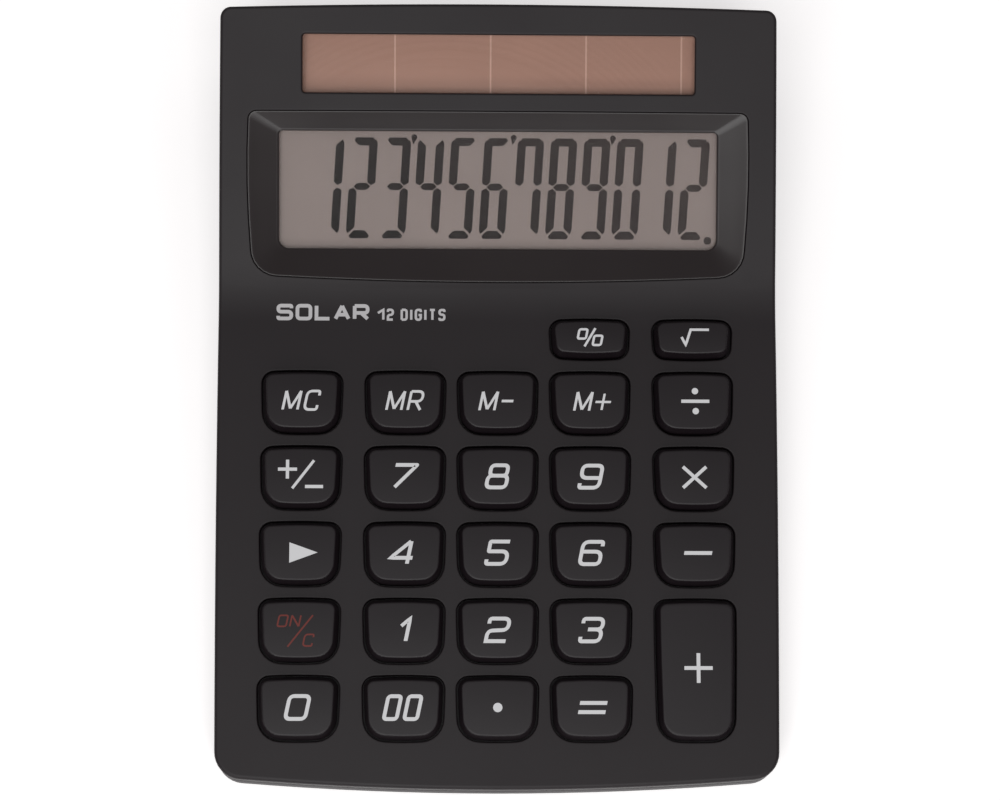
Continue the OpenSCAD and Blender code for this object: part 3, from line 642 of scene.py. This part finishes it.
def key_cap(body):
    x, y, length, front_r = key_size(body)
    outline, top_z = key_outline(length, front_r), crown(length)
    skirt, hollow = -KEY_GAP, -KEY_GAP - KEY_WALL
    cap = Moulding(KEY_DECK @ at(x, y))
    edge = skirt - KEY_LEAN + KEY_EDGE / 2
    narrow, flange_top = outline(hollow - KEY_LEAN), FLANGE_Z + FLANGE_T
    section = [(narrow, KEY_RISE - KEY_WALL), (narrow, SHOULDER - 0.2), (outline(hollow), SHOULDER - 0.2),
               (outline(hollow), FLANGE_Z), (outline(FLANGE_W), FLANGE_Z),
               (outline(FLANGE_W), flange_top), (outline(skirt), flange_top),
               (outline(skirt), SHOULDER - 0.1), (outline(skirt - 0.03), SHOULDER + 0.15)]
    for i in range(7):
        a = pi / 2 * (0.14 + 0.86 * i / 6)
        drop = KEY_EDGE * (1 - sin(a))
        section.append((outline(edge - KEY_EDGE * (1 - cos(a))), lambda u, v, d=drop: top_z(u, v) - d))
    rim = outline(edge - KEY_EDGE)
    section += [([(u * k, v * k) for u, v in rim], top_z) for k in (0.97, 0.8, 0.6, 0.4, 0.2, 0.05)]
    ceiling, middle = cap.sweep(section)
    cap.cap(ceiling, middle)
    for s in [-TALL_STEM, TALL_STEM] if length > TALL_KEY else [0]:
        stem = disc(0, s, STEM_R, 20)
        cap.cap(*cap.sweep([(stem, STEM_LOW), (stem, KEY_RISE - KEY_WALL / 2)]))
    return cap.finish(body + "_cap", KEY, body, body, slot="key_plastic", crease=32)


caps = [key_cap(body) for body in KEYS]
print(len(caps), "key caps with", sum(len(c.data.polygons) for c in caps), "faces")

# %% [markdown]
# ## Printed marks
# The keys carry light figures in a squarish slanted hand, pad-printed as a film of paint a
# few hundredths of a millimetre thick. Each mark is drawn as pen strokes on a grid: corners
# get a radius, and the pen gets a width. The strokes of a mark are then merged into one flat
# shape by the same triangulation that fills the decks, and given a thickness on the key's
# crowned top.

# %% Pen strokes
PAINT, ROOT = 0.03, 0.04     # height of the paint, and how far its underside sits in the key


def soften(points, r):
    """Rounds the corners of a line; a point may carry its own share of r as a third number."""
    line = [Vector(points[0][:2])]
    for before, here, after in zip(points, points[1:], points[2:]):
        spot, share = Vector(here[:2]), here[2] if len(here) > 2 else 1.0
        back, on = Vector(before[:2]) - spot, Vector(after[:2]) - spot
        reach = min(r * share, back.length * 0.5, on.length * 0.5)
        a, b = spot + back.normalized() * reach, spot + on.normalized() * reach
        steps = 6 if reach > 0.01 else 1
        line += [a.lerp(spot, t / steps).lerp(spot.lerp(b, t / steps), t / steps) for t in range(steps + 1)]
    line.append(Vector(points[-1][:2]))
    full = [line[0]]
    for spot in line[1:]:
        step = (spot - full[-1]).length
        if step < 1e-4:
            continue
        parts = max(1, ceil(step / 0.7))
        start = full[-1]
        full += [start.lerp(spot, (i + 1) / parts) for i in range(parts)]
    return full


def ribbon(points, width, r=0.0):
    """The outline of a pen stroke with square ends."""
    line = soften(points, r)
    left, right = [], []
    for i, spot in enumerate(line):
        back = (spot - line[max(i - 1, 0)]).normalized()
        on = (line[min(i + 1, len(line) - 1)] - spot).normalized()
        along = (back + on).normalized()
        side = Vector((-along.y, along.x))
        reach = width / 2 / max(0.55, side.dot(Vector((-on.y, on.x))) if on.length else 1.0)
        left.append(spot + side * reach)
        right.append(spot - side * reach)
    return right + left[::-1]


def dot(x, y, d):
    return [Vector(p) for p in disc(x, y, d / 2, 20)]


def area_of(shape):
    """Area of a flat shape, above zero when its points run anticlockwise."""
    return sum(a.cross(b) for a, b in zip(shape, shape[1:] + shape[:1])) / 2


def stroke_print(name, shapes, lean, place, top_z, material, body, thick=PAINT):
    """Merges flat shapes, slants them, and lays them on a surface as a film of paint."""
    shapes = [shape if area_of(shape) > 0 else shape[::-1] for shape in shapes]
    spots = [p for shape in shapes for p in shape]
    loops, start = [], 0
    for shape in shapes:
        loops.append(list(range(start, start + len(shape))))
        start += len(shape)
    out = geometry.delaunay_2d_cdt(spots, [], loops, 1, 1e-5, True)
    film = bmesh.new()
    flat = [film.verts.new((p.x + p.y * tan(lean), p.y, 0)) for p in out[0]]
    faces = [film.faces.new([flat[i] for i in face]) for face, inside in zip(out[2], out[5]) if inside]
    for v in [v for v in flat if not v.link_faces]:
        film.verts.remove(v)
    grown = bmesh.ops.extrude_face_region(film, geom=faces)["geom"]
    raised = {v for v in grown if isinstance(v, bmesh.types.BMVert)}
    for v in film.verts:
        v.co.z = top_z(v.co.x, v.co.y) + (thick if v in raised else -ROOT)
    bmesh.ops.recalc_face_normals(film, faces=film.faces)
    film.transform(Matrix.Scale(MM, 4) @ place)
    mesh = bpy.data.meshes.new(name)
    film.to_mesh(mesh)
    film.free()
    dress(mesh, name, material, body)


print("paint is", PAINT, "mm thick")


# %% [markdown]
# The figures are written on a square that runs from 0 to 1 both ways. Loops are given as two
# halves, so that a stroke never crosses itself.

# %% Figures and letters
GLYPHS = {
    "0": [[(.5, 1), (0, 1), (0, 0), (.5, 0)], [(.5, 1), (1, 1), (1, 0), (.5, 0)]],
    "1": [[(-.1, .66), (1, 1, 0), (1, 0)]],
    "2": [[(0, .78), (0, 1), (1, 1), (1, .5), (0, .46), (0, 0, 0), (1, 0)]],
    "3": [[(0, .8), (0, 1), (1, 1), (1, .53), (.3, .53)], [(.3, .53), (1, .53), (1, 0), (0, 0), (0, .2)]],
    "4": [[(.78, 1), (0, .26, 0), (1, .26)], [(.8, 1), (.8, 0)]],
    "5": [[(1, 1), (.02, 1, .2), (.02, .56, .2), (1, .56), (1, 0), (0, 0), (0, .2)]],
    "6": [[(1, .8), (1, 1), (0, 1), (0, 0), (.5, 0)], [(.5, 0), (1, 0), (1, .56), (0, .56)]],
    "7": [[(-.08, 1), (1.02, 1, .1), (.1, 0)]],
    "8": [[(.5, .53), (.07, .53), (.07, 1), (.5, 1)], [(.5, 1), (.93, 1), (.93, .53), (.5, .53)],
          [(.5, .53), (0, .53), (0, 0), (.5, 0)], [(.5, 0), (1, 0), (1, .53), (.5, .53)]],
    "9": [[(.5, 1), (0, 1), (0, .44), (1, .44)], [(.5, 1), (1, 1), (1, 0), (0, 0), (0, .2)]],
    "A": [[(0, 0), (.5, 1)], [(.5, 1), (1, 0)], [(.2, .32), (.8, .32)]],
    "C": [[(1, .76), (1, 1), (0, 1), (0, 0), (1, 0), (1, .24)]],
    "D": [[(0, 0), (0, 1)], [(0, 1), (1, 1), (1, 0), (0, 0)]],
    "G": [[(1, .78), (1, 1), (0, 1), (0, 0), (1, 0), (1, .48, 0), (.55, .48)]],
    "I": [[(.5, 0), (.5, 1)]],
    "L": [[(0, 1), (0, 0, 0), (1, 0)]],
    "M": [[(0, 0), (0, 1)], [(0, 1), (.5, .06)], [(.5, .06), (1, 1)], [(1, 1), (1, 0)]],
    "N": [[(0, 0), (0, 1)], [(0, 1), (1, 0)], [(1, 0), (1, 1)]],
    "O": [[(.5, 1), (0, 1), (0, 0), (.5, 0)], [(.5, 1), (1, 1), (1, 0), (.5, 0)]],
    "R": [[(0, 0), (0, 1)], [(0, 1), (1, 1), (1, .46), (0, .46)], [(.5, .46), (1, 0)]],
    "S": [[(1, .8), (1, 1), (0, 1), (0, .53), (1, .53), (1, 0), (0, 0), (0, .2)]],
    "T": [[(0, 1), (1, 1)], [(.5, 1), (.5, 0)]],
}


def glyph(mark, x, y, w, h, pen, r):
    """The strokes of one figure whose outside is w by h and whose middle is at x, y."""
    inner_w, inner_h = w - pen, h - pen
    lines = [[((u - 0.5) * inner_w + x, (v - 0.5) * inner_h + y, *own) for u, v, *own in line]
             for line in GLYPHS[mark]]
    return [ribbon(line, pen, r) for line in lines]


def bar(x0, y0, x1, y1, pen):
    return ribbon([(x0, y0), (x1, y1)], pen)


print(len(GLYPHS), "figures and letters")

# %% [markdown]
# Most keys take one or two figures. The signs are drawn from bars and dots of their own.

# %% Marks on the keys
SLANT = radians(11.5)
FIGURE_H, FIGURE_W, PEN = 4.8, 4.3, 0.69
LETTER_H, LETTER_PEN = 3.95, 0.48


def figure(mark, x=0.0, w=FIGURE_W):
    return glyph(mark, x, 0.05, w, FIGURE_H, PEN, 1.15)


def letter(mark, x, w):
    return glyph(mark, x, 0.0, w, LETTER_H, LETTER_PEN, 0.95)


def straight(shapes):
    """Undoes the slant for a sign that stands upright."""
    return [[Vector((p.x - p.y * tan(SLANT), p.y)) for p in shape] for shape in shapes]


MARKS = {
    "key_percent": glyph("0", -1.5, 0.6, 1.95, 2.2, 0.43, 0.7)
    + glyph("0", 1.5, -0.6, 1.95, 2.2, 0.43, 0.7) + straight([bar(1.0, 1.7, -1.05, -1.75, 0.43)]),
    "key_root": straight([ribbon([(-2.1, 0.1), (-1.35, -1.4, 0), (-0.4, 1.5, 0), (3.0, 1.5)], 0.47)]),
    "key_memory_clear": letter("M", -1.75, 3.2) + letter("C", 1.95, 2.75),
    "key_memory_recall": letter("M", -1.75, 3.2) + letter("R", 1.95, 2.75),
    "key_memory_minus": letter("M", -1.7, 3.2) + [bar(0.7, 0, 2.85, 0, 0.48)],
    "key_memory_plus": letter("M", -1.3, 3.2)
    + [bar(0.95, -0.1, 3.8, -0.1, 0.42), bar(2.35, 1.45, 2.35, -1.6, 0.42)],
    "key_divide": straight([bar(-2.3, 0.1, 2.9, 0.1, 0.62), dot(0.25, 2.0, 1.2), dot(0.35, -1.75, 1.2)]),
    "key_sign": straight([bar(-4.15, 1.25, -0.65, 1.25, 0.6), bar(-2.4, 3.0, -2.4, -0.5, 0.6),
                          bar(-1.5, -2.3, 2.45, 2.9, 0.5), bar(0.85, -1.95, 4.15, -1.95, 0.6)]),
    "key_7": figure("7"), "key_8": figure("8"), "key_9": figure("9"),
    "key_multiply": straight([bar(-2.15, -1.95, 2.15, 1.95, 0.62), bar(-2.15, 1.95, 2.15, -1.95, 0.62)]),
    "key_right_shift": straight([[Vector(p) for p in ((-1.85, 1.85), (-1.85, -1.9), (3.3, 0.0))]]),
    "key_4": figure("4", -0.3, 4.7), "key_5": figure("5"), "key_6": figure("6"),
    "key_minus": [bar(-2.1, 0.1, 3.0, 0.1, PEN)],
    "key_on_clear": glyph("O", -3.2, 1.6, 1.9, 2.3, 0.3, 0.6) + glyph("N", -0.9, 1.6, 1.9, 2.3, 0.3, 0.6)
    + straight([bar(2.6, 2.65, -1.95, -3.1, 0.3)]) + glyph("C", 2.2, -1.9, 1.9, 2.4, 0.3, 0.6),
    "key_1": figure("1", 0.15, 1.9), "key_2": figure("2"), "key_3": figure("3"),
    "key_0": figure("0"), "key_00": figure("0", -1.95, 3.0) + figure("0", 1.75, 3.0),
    "key_point": straight([dot(0, 0.1, 1.7)]),
    "key_equals": [bar(-2.4, 0.95, 2.55, 0.95, 0.7), bar(-2.4, -0.7, 2.55, -0.7, 0.7)],
    "key_plus": straight([bar(-2.3, 0.25, 2.85, 0.25, 0.68), bar(0.27, 2.95, 0.27, -2.45, 0.68)]),
}
for body, shapes in MARKS.items():
    x, y, length, _ = key_size(body)
    ink = RED_PRINT if body == "key_on_clear" else PRINT
    stroke_print(body.replace("key_", "print_"), shapes, SLANT,
                 KEY_DECK @ at(x, y), crown(length), ink, body)
print(len(MARKS), "printed keys")

# %% [markdown]
# Between the display and the keys the case carries a line of plain lettering. It says what
# the calculator is, in generic words.

# %% Lettering on the deck
def deck_rise(x, y):
    """How far the bend lifts the deck's surface above the flat key deck."""
    case_y = bend_y + y * cos(key_slope)
    return (deck_z(case_y) - bend_z) * cos(key_slope) - y * cos(key_slope) * sin(key_slope)


WORDS_X, WORDS_Y = -41.2, 4.4
shapes, x = [], WORDS_X
WORDS = (("SOLAR", 3.1, 3.1, 0.68, 0.45), ("12", 1.35, 2.3, 0.44, 0.42), ("DIGITS", 1.35, 2.3, 0.44, 0.42))
for word, w, h, pen, gap in WORDS:
    for mark in word:
        wide = pen if mark == "I" else w
        box_w = wide + pen * 0.01 if mark == "I" else wide
        shapes += glyph(mark, x + wide / 2, h / 2 - WORDS_Y, box_w, h, pen, h * 0.24)
        x += wide + gap
    x += 1.0 if word == "SOLAR" else 0.8
stroke_print("print_deck_words", shapes, 0.0, KEY_DECK, deck_rise, DECK_PRINT, "case")
print(f"the words end {x:.1f} mm from the middle")

# %% [markdown]
# ## Solar cell and clear windows
# The cell is four strips of amorphous silicon behind a slightly tinted window. Its brown is
# painted pale: a painted reflection of the light in that window. Fine light lines part the
# strips, where one strip's contact meets the next. A clear part is thin here, so light is
# let straight through it and only its surface mirrors, more at a glancing angle: that is a
# transparent shader and a glossy one, mixed by Fresnel.

# %% Clear and layered finishes
MIRROR_IOR, HAZE_CLOUD = 1.12, 60
CELL_PITCH, CELL_LINE_W, CELL_FIRST_LINE = 17.85, 0.32, -1.5


def clear(name, tint, shine=0.05, haze=0.04):
    """A thin clear part: straight-through light, and a mirror that grows at glancing angles."""
    material = bpy.data.materials.new(name)
    material.use_nodes = True
    tree = material.node_tree
    tree.nodes.clear()
    through = tree.nodes.new("ShaderNodeBsdfTransparent")
    mirror = tree.nodes.new("ShaderNodeBsdfGlossy")
    mirror.inputs["Roughness"].default_value = shine
    fresnel = tree.nodes.new("ShaderNodeFresnel")
    fresnel.inputs["IOR"].default_value = MIRROR_IOR
    blend = tree.nodes.new("ShaderNodeMixShader")
    out = tree.nodes.new("ShaderNodeOutputMaterial")
    place = tree.nodes.new("ShaderNodeTexCoord")
    cloud = tree.nodes.new("ShaderNodeTexNoise")
    cloud.inputs["Scale"].default_value = HAZE_CLOUD
    shade = tree.nodes.new("ShaderNodeMix")
    shade.data_type = "RGBA"
    shade.inputs["A"].default_value = tuple(c * (1 - haze) for c in tint) + (1,)
    shade.inputs["B"].default_value = (*tint, 1)
    join(tree, (place.outputs["Object"], cloud.inputs["Vector"]),
         (cloud.outputs["Fac"], shade.inputs["Factor"]),
         (shade.outputs["Result"], through.inputs["Color"]), (fresnel.outputs["Fac"], blend.inputs["Fac"]),
         (through.outputs["BSDF"], blend.inputs[1]), (mirror.outputs["BSDF"], blend.inputs[2]),
         (blend.outputs["Shader"], out.inputs["Surface"]))
    return material


def striped_cell_with_painted_reflection():
    """Brown silicon with fine light lines across it, one at each joint between strips; its brown is painted
    pale, a painted reflection of the light in the window over it.
    """
    # The pale brown base colour is a painted reflection of the light in the window; the silicon itself is a
    # darker brown.
    material = finish("solar_cell_film_painted_reflection", (195, 153, 137), 0.35, grain=0.5, depth=0.004, drift=0.07)
    tree = material.node_tree
    shader, old = tree.nodes["Principled BSDF"], tree.nodes["Mix"]
    place = tree.nodes["Texture Coordinate"]
    axes = tree.nodes.new("ShaderNodeSeparateXYZ")
    tree.links.new(place.outputs["Object"], axes.inputs["Vector"])
    steps = (("SUBTRACT", (CELL_FIRST_LINE - CELL_PITCH / 2) * MM), ("DIVIDE", CELL_PITCH * MM), ("FRACT", 0),
             ("SUBTRACT", 0.5), ("ABSOLUTE", 0), ("LESS_THAN", CELL_LINE_W / CELL_PITCH / 2))
    flow = axes.outputs["X"]
    for operation, value in steps:
        step = tree.nodes.new("ShaderNodeMath")
        step.operation = operation
        step.inputs[1].default_value = value
        tree.links.new(flow, step.inputs[0])
        flow = step.outputs["Value"]
    lines = tree.nodes.new("ShaderNodeMix")
    lines.data_type = "RGBA"
    lines.inputs["B"].default_value = linear(228, 192, 178)
    join(tree, (flow, lines.inputs["Factor"]), (old.outputs["Result"], lines.inputs["A"]),
         (lines.outputs["Result"], shader.inputs["Base Color"]))
    return material


CLEAR = clear("clear_window", (0.97, 0.97, 0.96))
TINTED = clear("tinted_window", (0.95, 0.92, 0.9))
GLASS = clear("display_glass", (0.95, 0.97, 0.96))
print("clear parts and the striped cell are ready")

# %% [markdown]
# ## The digits of the display
# A liquid crystal display draws a digit with seven bars of four sorts: level, middle, and
# the upright ones for either hand. Each sort is drawn once, and a Geometry Nodes tree sets
# it on points that carry the place and the turn of every lit bar. The row leans a little.

# %% Node tree helper
def new_tree(name, inputs):
    """A Geometry Nodes tree with a geometry input and output, and inputs of given kinds."""
    tree = bpy.data.node_groups.new(name, "GeometryNodeTree")
    tree.interface.new_socket("Geometry", in_out="INPUT", socket_type="NodeSocketGeometry")
    tree.interface.new_socket("Geometry", in_out="OUTPUT", socket_type="NodeSocketGeometry")
    for title, kind in inputs.items():
        tree.interface.new_socket(title, in_out="INPUT", socket_type="NodeSocket" + kind)
    return tree, tree.nodes.new("NodeGroupInput"), tree.nodes.new("NodeGroupOutput")


def node(tree, kind, links=(), **settings):
    """Adds a node; links are (output socket, input name or number), and settings its properties."""
    made = tree.nodes.new(kind)
    for name, value in settings.items():
        setattr(made, name, value)
    for source, target in links:
        tree.links.new(source, made.inputs[target])
    return made


def grow(name, tree, points, values, **attributes):
    """Runs a tree on a set of points and returns the mesh that it makes, in metres."""
    seeds = bpy.data.meshes.new(name + "_points")
    seeds.from_pydata([tuple(c * MM for c in p) for p in points], [], [])
    for title, numbers in attributes.items():
        seeds.attributes.new(title, "FLOAT", "POINT").data.foreach_set("value", numbers)
    holder = bpy.data.objects.new(name + "_source", seeds)
    modifier = holder.modifiers.new("grow", "NODES")
    modifier.node_group = tree
    for socket in tree.interface.items_tree:
        if socket.in_out == "INPUT" and socket.name in values:
            modifier[socket.identifier] = values[socket.name]
    bpy.context.scene.collection.objects.link(holder)
    mesh = bpy.data.meshes.new_from_object(holder.evaluated_get(bpy.context.evaluated_depsgraph_get()))
    bpy.data.objects.remove(holder)
    return mesh


# %% [markdown]
# The tree sets a part on every point of a mesh and turns it by the number that the point
# carries. Bars of the display, screws and feet all come from it.

# %% Parts set on points
def repeater(name):
    """A tree that sets a part on every point, turned by the point's own angle."""
    tree, source, sink = new_tree(name, {"Part": "Object", "Finish": "Material"})
    part = node(tree, "GeometryNodeObjectInfo", [(source.outputs["Part"], "Object")])
    turn = node(tree, "GeometryNodeInputNamedAttribute", data_type="FLOAT")
    turn.inputs["Name"].default_value = "turn"
    spin = node(tree, "ShaderNodeCombineXYZ", [(turn.outputs["Attribute"], "Z")])
    placed = node(tree, "GeometryNodeInstanceOnPoints", [
        (source.outputs["Geometry"], "Points"), (part.outputs["Geometry"], "Instance"),
        (spin.outputs[0], "Rotation")])
    real = node(tree, "GeometryNodeRealizeInstances", [(placed.outputs[0], 0)])
    done = node(tree, "GeometryNodeSetMaterial", [
        (real.outputs[0], "Geometry"), (source.outputs["Finish"], "Material")])
    tree.links.new(done.outputs[0], sink.inputs[0])
    return tree


REPEAT = repeater("set_on_points")


def repeat(name, mould, points, place, material, body, stands_for=(), slot=None):
    """Sets copies of a moulding on points (x, y, turn) that lie in place."""
    bmesh.ops.remove_doubles(mould.bm, verts=mould.bm.verts, dist=1e-4)
    bmesh.ops.recalc_face_normals(mould.bm, faces=mould.bm.faces)
    mesh = bpy.data.meshes.new(name + "_one")
    mould.bm.to_mesh(mesh)
    mesh.transform(Matrix.Scale(MM, 4))
    one = bpy.data.objects.new(name + "_one", mesh)
    bpy.context.scene.collection.objects.link(one)
    made = grow(name, REPEAT, [(x, y, 0) for x, y, turn in points],
                {"Part": one, "Finish": material}, turn=[turn for x, y, turn in points])
    bpy.data.objects.remove(one)
    made.transform(Matrix.Scale(MM, 4) @ place @ Matrix.Scale(1 / MM, 4))
    return dress(made, name, material, body, *stands_for, slot=slot)


print("the tree that sets parts on points has", len(REPEAT.nodes), "nodes")

# %% [markdown]
# Each digit names the bars that are lit, from a at the top round to f, with g in the middle.

# %% Lit digits
BAR_T = 0.04


def ink_with_painted_glare(low, high, start, end):
    """Display ink painted paler along the window, towards the upper right: a painted glare of the light on
    the window.
    """
    material = finish("display_ink_painted_glare", low, 0.4, grain=0.3, depth=0.002, drift=0.06, gloss=0.1)
    tree = material.node_tree
    spot = tree.nodes["Texture Coordinate"].outputs["Object"]
    slant = node(tree, "ShaderNodeVectorMath", [(spot, 0)], operation="DOT_PRODUCT")
    slant.inputs[1].default_value = (1, 1.2, 0)
    along = node(tree, "ShaderNodeMapRange", [(slant.outputs["Value"], "Value")])
    along.inputs["From Min"].default_value = start * MM
    along.inputs["From Max"].default_value = end * MM
    pale = node(tree, "ShaderNodeMix", [
        (along.outputs["Result"], "Factor"), (tree.nodes["Mix"].outputs["Result"], "A")], data_type="RGBA")
    pale.inputs["B"].default_value = linear(*high)
    tree.links.new(pale.outputs["Result"], tree.nodes["Principled BSDF"].inputs["Base Color"])
    return material


def bar_mould(length, width, left, right):
    """A bar with pointed ends, each (cut on the outer side, cut on the inner side, place of tip)."""
    half, reach = width / 2, length / 2
    outline = [(left[1] - reach, -half), (reach - right[1], -half), (reach, right[2] * half),
               (reach - right[0], half), (left[0] - reach, half), (-reach, left[2] * half)]
    made = Moulding()
    made.cap(*made.sweep([(outline, 0.0), (outline, BAR_T)]))
    return made


LIT = {"0": "abcdef", "1": "bc", "2": "abged", "3": "abgcd", "4": "fgbc", "5": "afgcd", "6": "afgedc",
       "7": "fabc", "8": "abcdefg", "9": "gfabcd"}
DIGIT_PITCH, DIGIT_W, DIGIT_H, DIGIT_LEAN = 6.225, 4.94, 18.85, radians(3.5)
LAST_DIGIT_X, DIGIT_MID_Y = 36.74, 20.5
BAR_W, TALL_BAR, LEVEL_W, LEVEL_BAR = 1.56, 8.56, 1.5, 3.85
MIDDLE_BAR, MIDDLE_W, MIDDLE_END = 3.1, 1.3, (0.66, 0.66, 0)
MIDDLE_Y, UPPER_Y, LOWER_Y = 0.27, 4.77, -4.23
CORNER, WAIST, LEVEL_END = (0.68, 1.19, 0.54), (0.5, 0.68, -0.1), (0.33, 0.93, 0.3)
# The digit ink is painted paler towards the upper right of the row: a painted glare, not a colour of the ink.
INK_WITH_PAINTED_GLARE = ink_with_painted_glare((24, 19, 21), (66, 57, 57), 5, 85)
film_top = local_box("front_polariser", DISPLAY_DECK)[1].z
side, rise = (DIGIT_W - BAR_W) / 2, (DIGIT_H - LEVEL_W) / 2
SORTS = {
    "level": (bar_mould(LEVEL_BAR, LEVEL_W, LEVEL_END, LEVEL_END), {"a": (0, rise, 0), "d": (0, -rise, pi)}),
    "middle": (bar_mould(MIDDLE_BAR, MIDDLE_W, MIDDLE_END, MIDDLE_END), {"g": (0, MIDDLE_Y, 0)}),
    "right_hand": (bar_mould(TALL_BAR, BAR_W, CORNER, WAIST),
                   {"b": (side, UPPER_Y, -pi / 2), "e": (-side, LOWER_Y, pi / 2)}),
    "left_hand": (bar_mould(TALL_BAR, BAR_W, WAIST, CORNER),
                  {"c": (side, LOWER_Y, -pi / 2), "f": (-side, UPPER_Y, pi / 2)}),
}
slanted = Matrix(((1, tan(DIGIT_LEAN), 0, 0), (0, 1, 0, 0), (0, 0, 1, 0), (0, 0, 0, 1)))
row_place = DISPLAY_DECK @ at(0, DIGIT_MID_Y, film_top + 0.01) @ slanted
for sort, (mould, spots) in SORTS.items():
    points = [(LAST_DIGIT_X - (11 - i) * DIGIT_PITCH + spots[bar][0], *spots[bar][1:])
              for i, mark in enumerate("123456789012") for bar in LIT[mark] if bar in spots]
    repeat(f"display_bars_{sort}", mould, points, row_place, INK_WITH_PAINTED_GLARE, "case")
    print(len(points), "lit bars of the", sort, "sort")
marks = [dot(39.4, 10.95, 1.45)]
for x in (-15.7, 2.9, 21.5):
    marks += [dot(x, 30.0, 1.1), [Vector(p) for p in ((x - 0.2, 28.6), (x + 0.53, 29.9), (x - 0.5, 29.8))]]
stroke_print("display_point_and_ticks", marks, 0.0, DISPLAY_DECK,
             lambda x, y: film_top + 0.045, INK_WITH_PAINTED_GLARE, "case", thick=0.01)
print(len(marks), "small marks beside the digits")

# %% [markdown]
# ## Screws and feet
# Six screws and four feet repeat as well, so each is drawn once as a moulding and the same
# tree sets it on its points.

# %% Screws and feet
THREAD, TIP = 0.4, 0.6


def screw_mould(d, head_d, head_h, length):
    """A cross-head screw, head down, with its outer face on z = 0."""
    screw = Moulding()
    r, head_r, arm, half = d / 2, head_d / 2, head_d / 3, 0.2
    cross = []
    for quarter in range(4):
        a = quarter * pi / 2
        for px, py in ((half, -half), (arm, -half), (arm, half)):
            cross.append((px * cos(a) - py * sin(a), px * sin(a) + py * cos(a)))
    slot_end = [(x * 0.8, y * 0.8) for x, y in cross]
    slot_edge, slot_floor = screw.sweep([(cross, 0.0), (slot_end, head_h * 0.6)])
    screw.cap(slot_floor)
    dome = [(head_r * 0.8, 0.0), (head_r * 0.95, head_h * 0.12), (head_r, head_h * 0.4),
            (head_r, head_h), (r, head_h)]
    z = head_h
    while z < length - TIP:
        dome += [(r * 0.82, z + THREAD / 2), (r, z + THREAD)]
        z += THREAD
    dome += [(r * 0.5, length)]
    face_edge, tip = screw.sweep([(arc(0, 0, pr, 0, 2 * pi * (1 - 1 / 24), 23), pz) for pr, pz in dome])
    screw.fill(face_edge, [slot_edge])
    screw.cap(tip)
    return screw


STEEL = finish("screw_steel", (176, 176, 178), 0.3, grain=0.3, depth=0.004, drift=0.06, Metallic=0.9)
RUBBER = finish("foot_rubber", (44, 43, 43), 0.78, grain=0.35, depth=0.03, drift=0.12, gloss=0.3)
HEAD_H, BITE = 1.2, 3.2
face_z = FOOT_RISE + COUNTERBORE - HEAD_H
case_screw = screw_mould(2.2, 4.0, HEAD_H, BOSS_SEAT + BITE - FOOT_RISE - COUNTERBORE + HEAD_H)
repeat("shell_screws", case_screw, [(x, y, 0) for x, y in SCREWS], at(0, 0, face_z),
       STEEL, "case", ["case_screws"], "steel")
foot = Moulding()
foot_section = ((3.0, 0.16), (3.25, 0.0), (4.2, 0.0), (4.42, 0.08), (4.5, 0.3), (4.5, 1.8))
foot_face, foot_back = foot.sweep([(disc(0, 0, r, 40), z) for r, z in foot_section])
foot.cap(foot_face, foot_back)
repeat("feet", foot, [(x, y, 0) for x, y in FEET], at(0, 0), RUBBER, "case", ["rubber_feet"], "foot_rubber")
print("six screws and four feet")

# %% [markdown]
# ## Parts that keep their model shape
# The windows, the glass, the cell and everything inside the case are right as they are, so
# they only need a finish. Each one gets its own: green board, resin, rubber, tinned can.

# %% Finishes for the model's own parts
FINISHES = {
    "display_window": CLEAR, "solar_window": TINTED, "front_glass": GLASS, "rear_glass": GLASS,
    "solar_cell": striped_cell_with_painted_reflection(),
    "front_polariser": finish("polariser_film", (157, 142, 140), 0.42, grain=0.6, depth=0.002, drift=0.04,
                              gloss=0.3),
    "rear_reflector": finish("reflector_foil", (184, 174, 171), 0.35, grain=0.3, depth=0.004, drift=0.05,
                             Metallic=0.5),
    "lcd_holder": finish("holder_plastic", (87, 80, 78), 0.55, grain=0.3, depth=0.01),
    "lcd_ribbon": finish("ribbon_film", (141, 106, 60), 0.35, grain=0.4, depth=0.004),
    "rubber_sheet": finish("sheet_rubber", (109, 106, 104), 0.75, grain=0.3, depth=0.02, gloss=0.3),
    "rubber_domes": finish("dome_rubber", (116, 113, 110), 0.72, grain=0.25, depth=0.015, gloss=0.3),
    "main_board": finish("board_lacquer", (60, 90, 58), 0.38, grain=0.8, depth=0.012, drift=0.16),
    "chip_cover": finish("chip_resin", (27, 27, 27), 0.3, grain=0.6, depth=0.02),
    "buffer_capacitor": finish("can_sleeve", (42, 53, 80), 0.35, grain=0.5, depth=0.004),
    "chip_resistors": finish("resistor_body", (32, 32, 32), 0.45, grain=0.2, depth=0.01),
    "solar_lead_red": finish("red_lead", (160, 38, 34), 0.45, grain=0.2, depth=0.006),
    "solar_lead_black": finish("black_lead", (28, 28, 28), 0.45, grain=0.2, depth=0.006),
    "inner_screws": STEEL,
}
for name, material in FINISHES.items():
    part = frame["nodes"][name]
    part.data.materials.clear()
    part.data.materials.append(material)
print(len(FINISHES), "parts of the model have a finish")
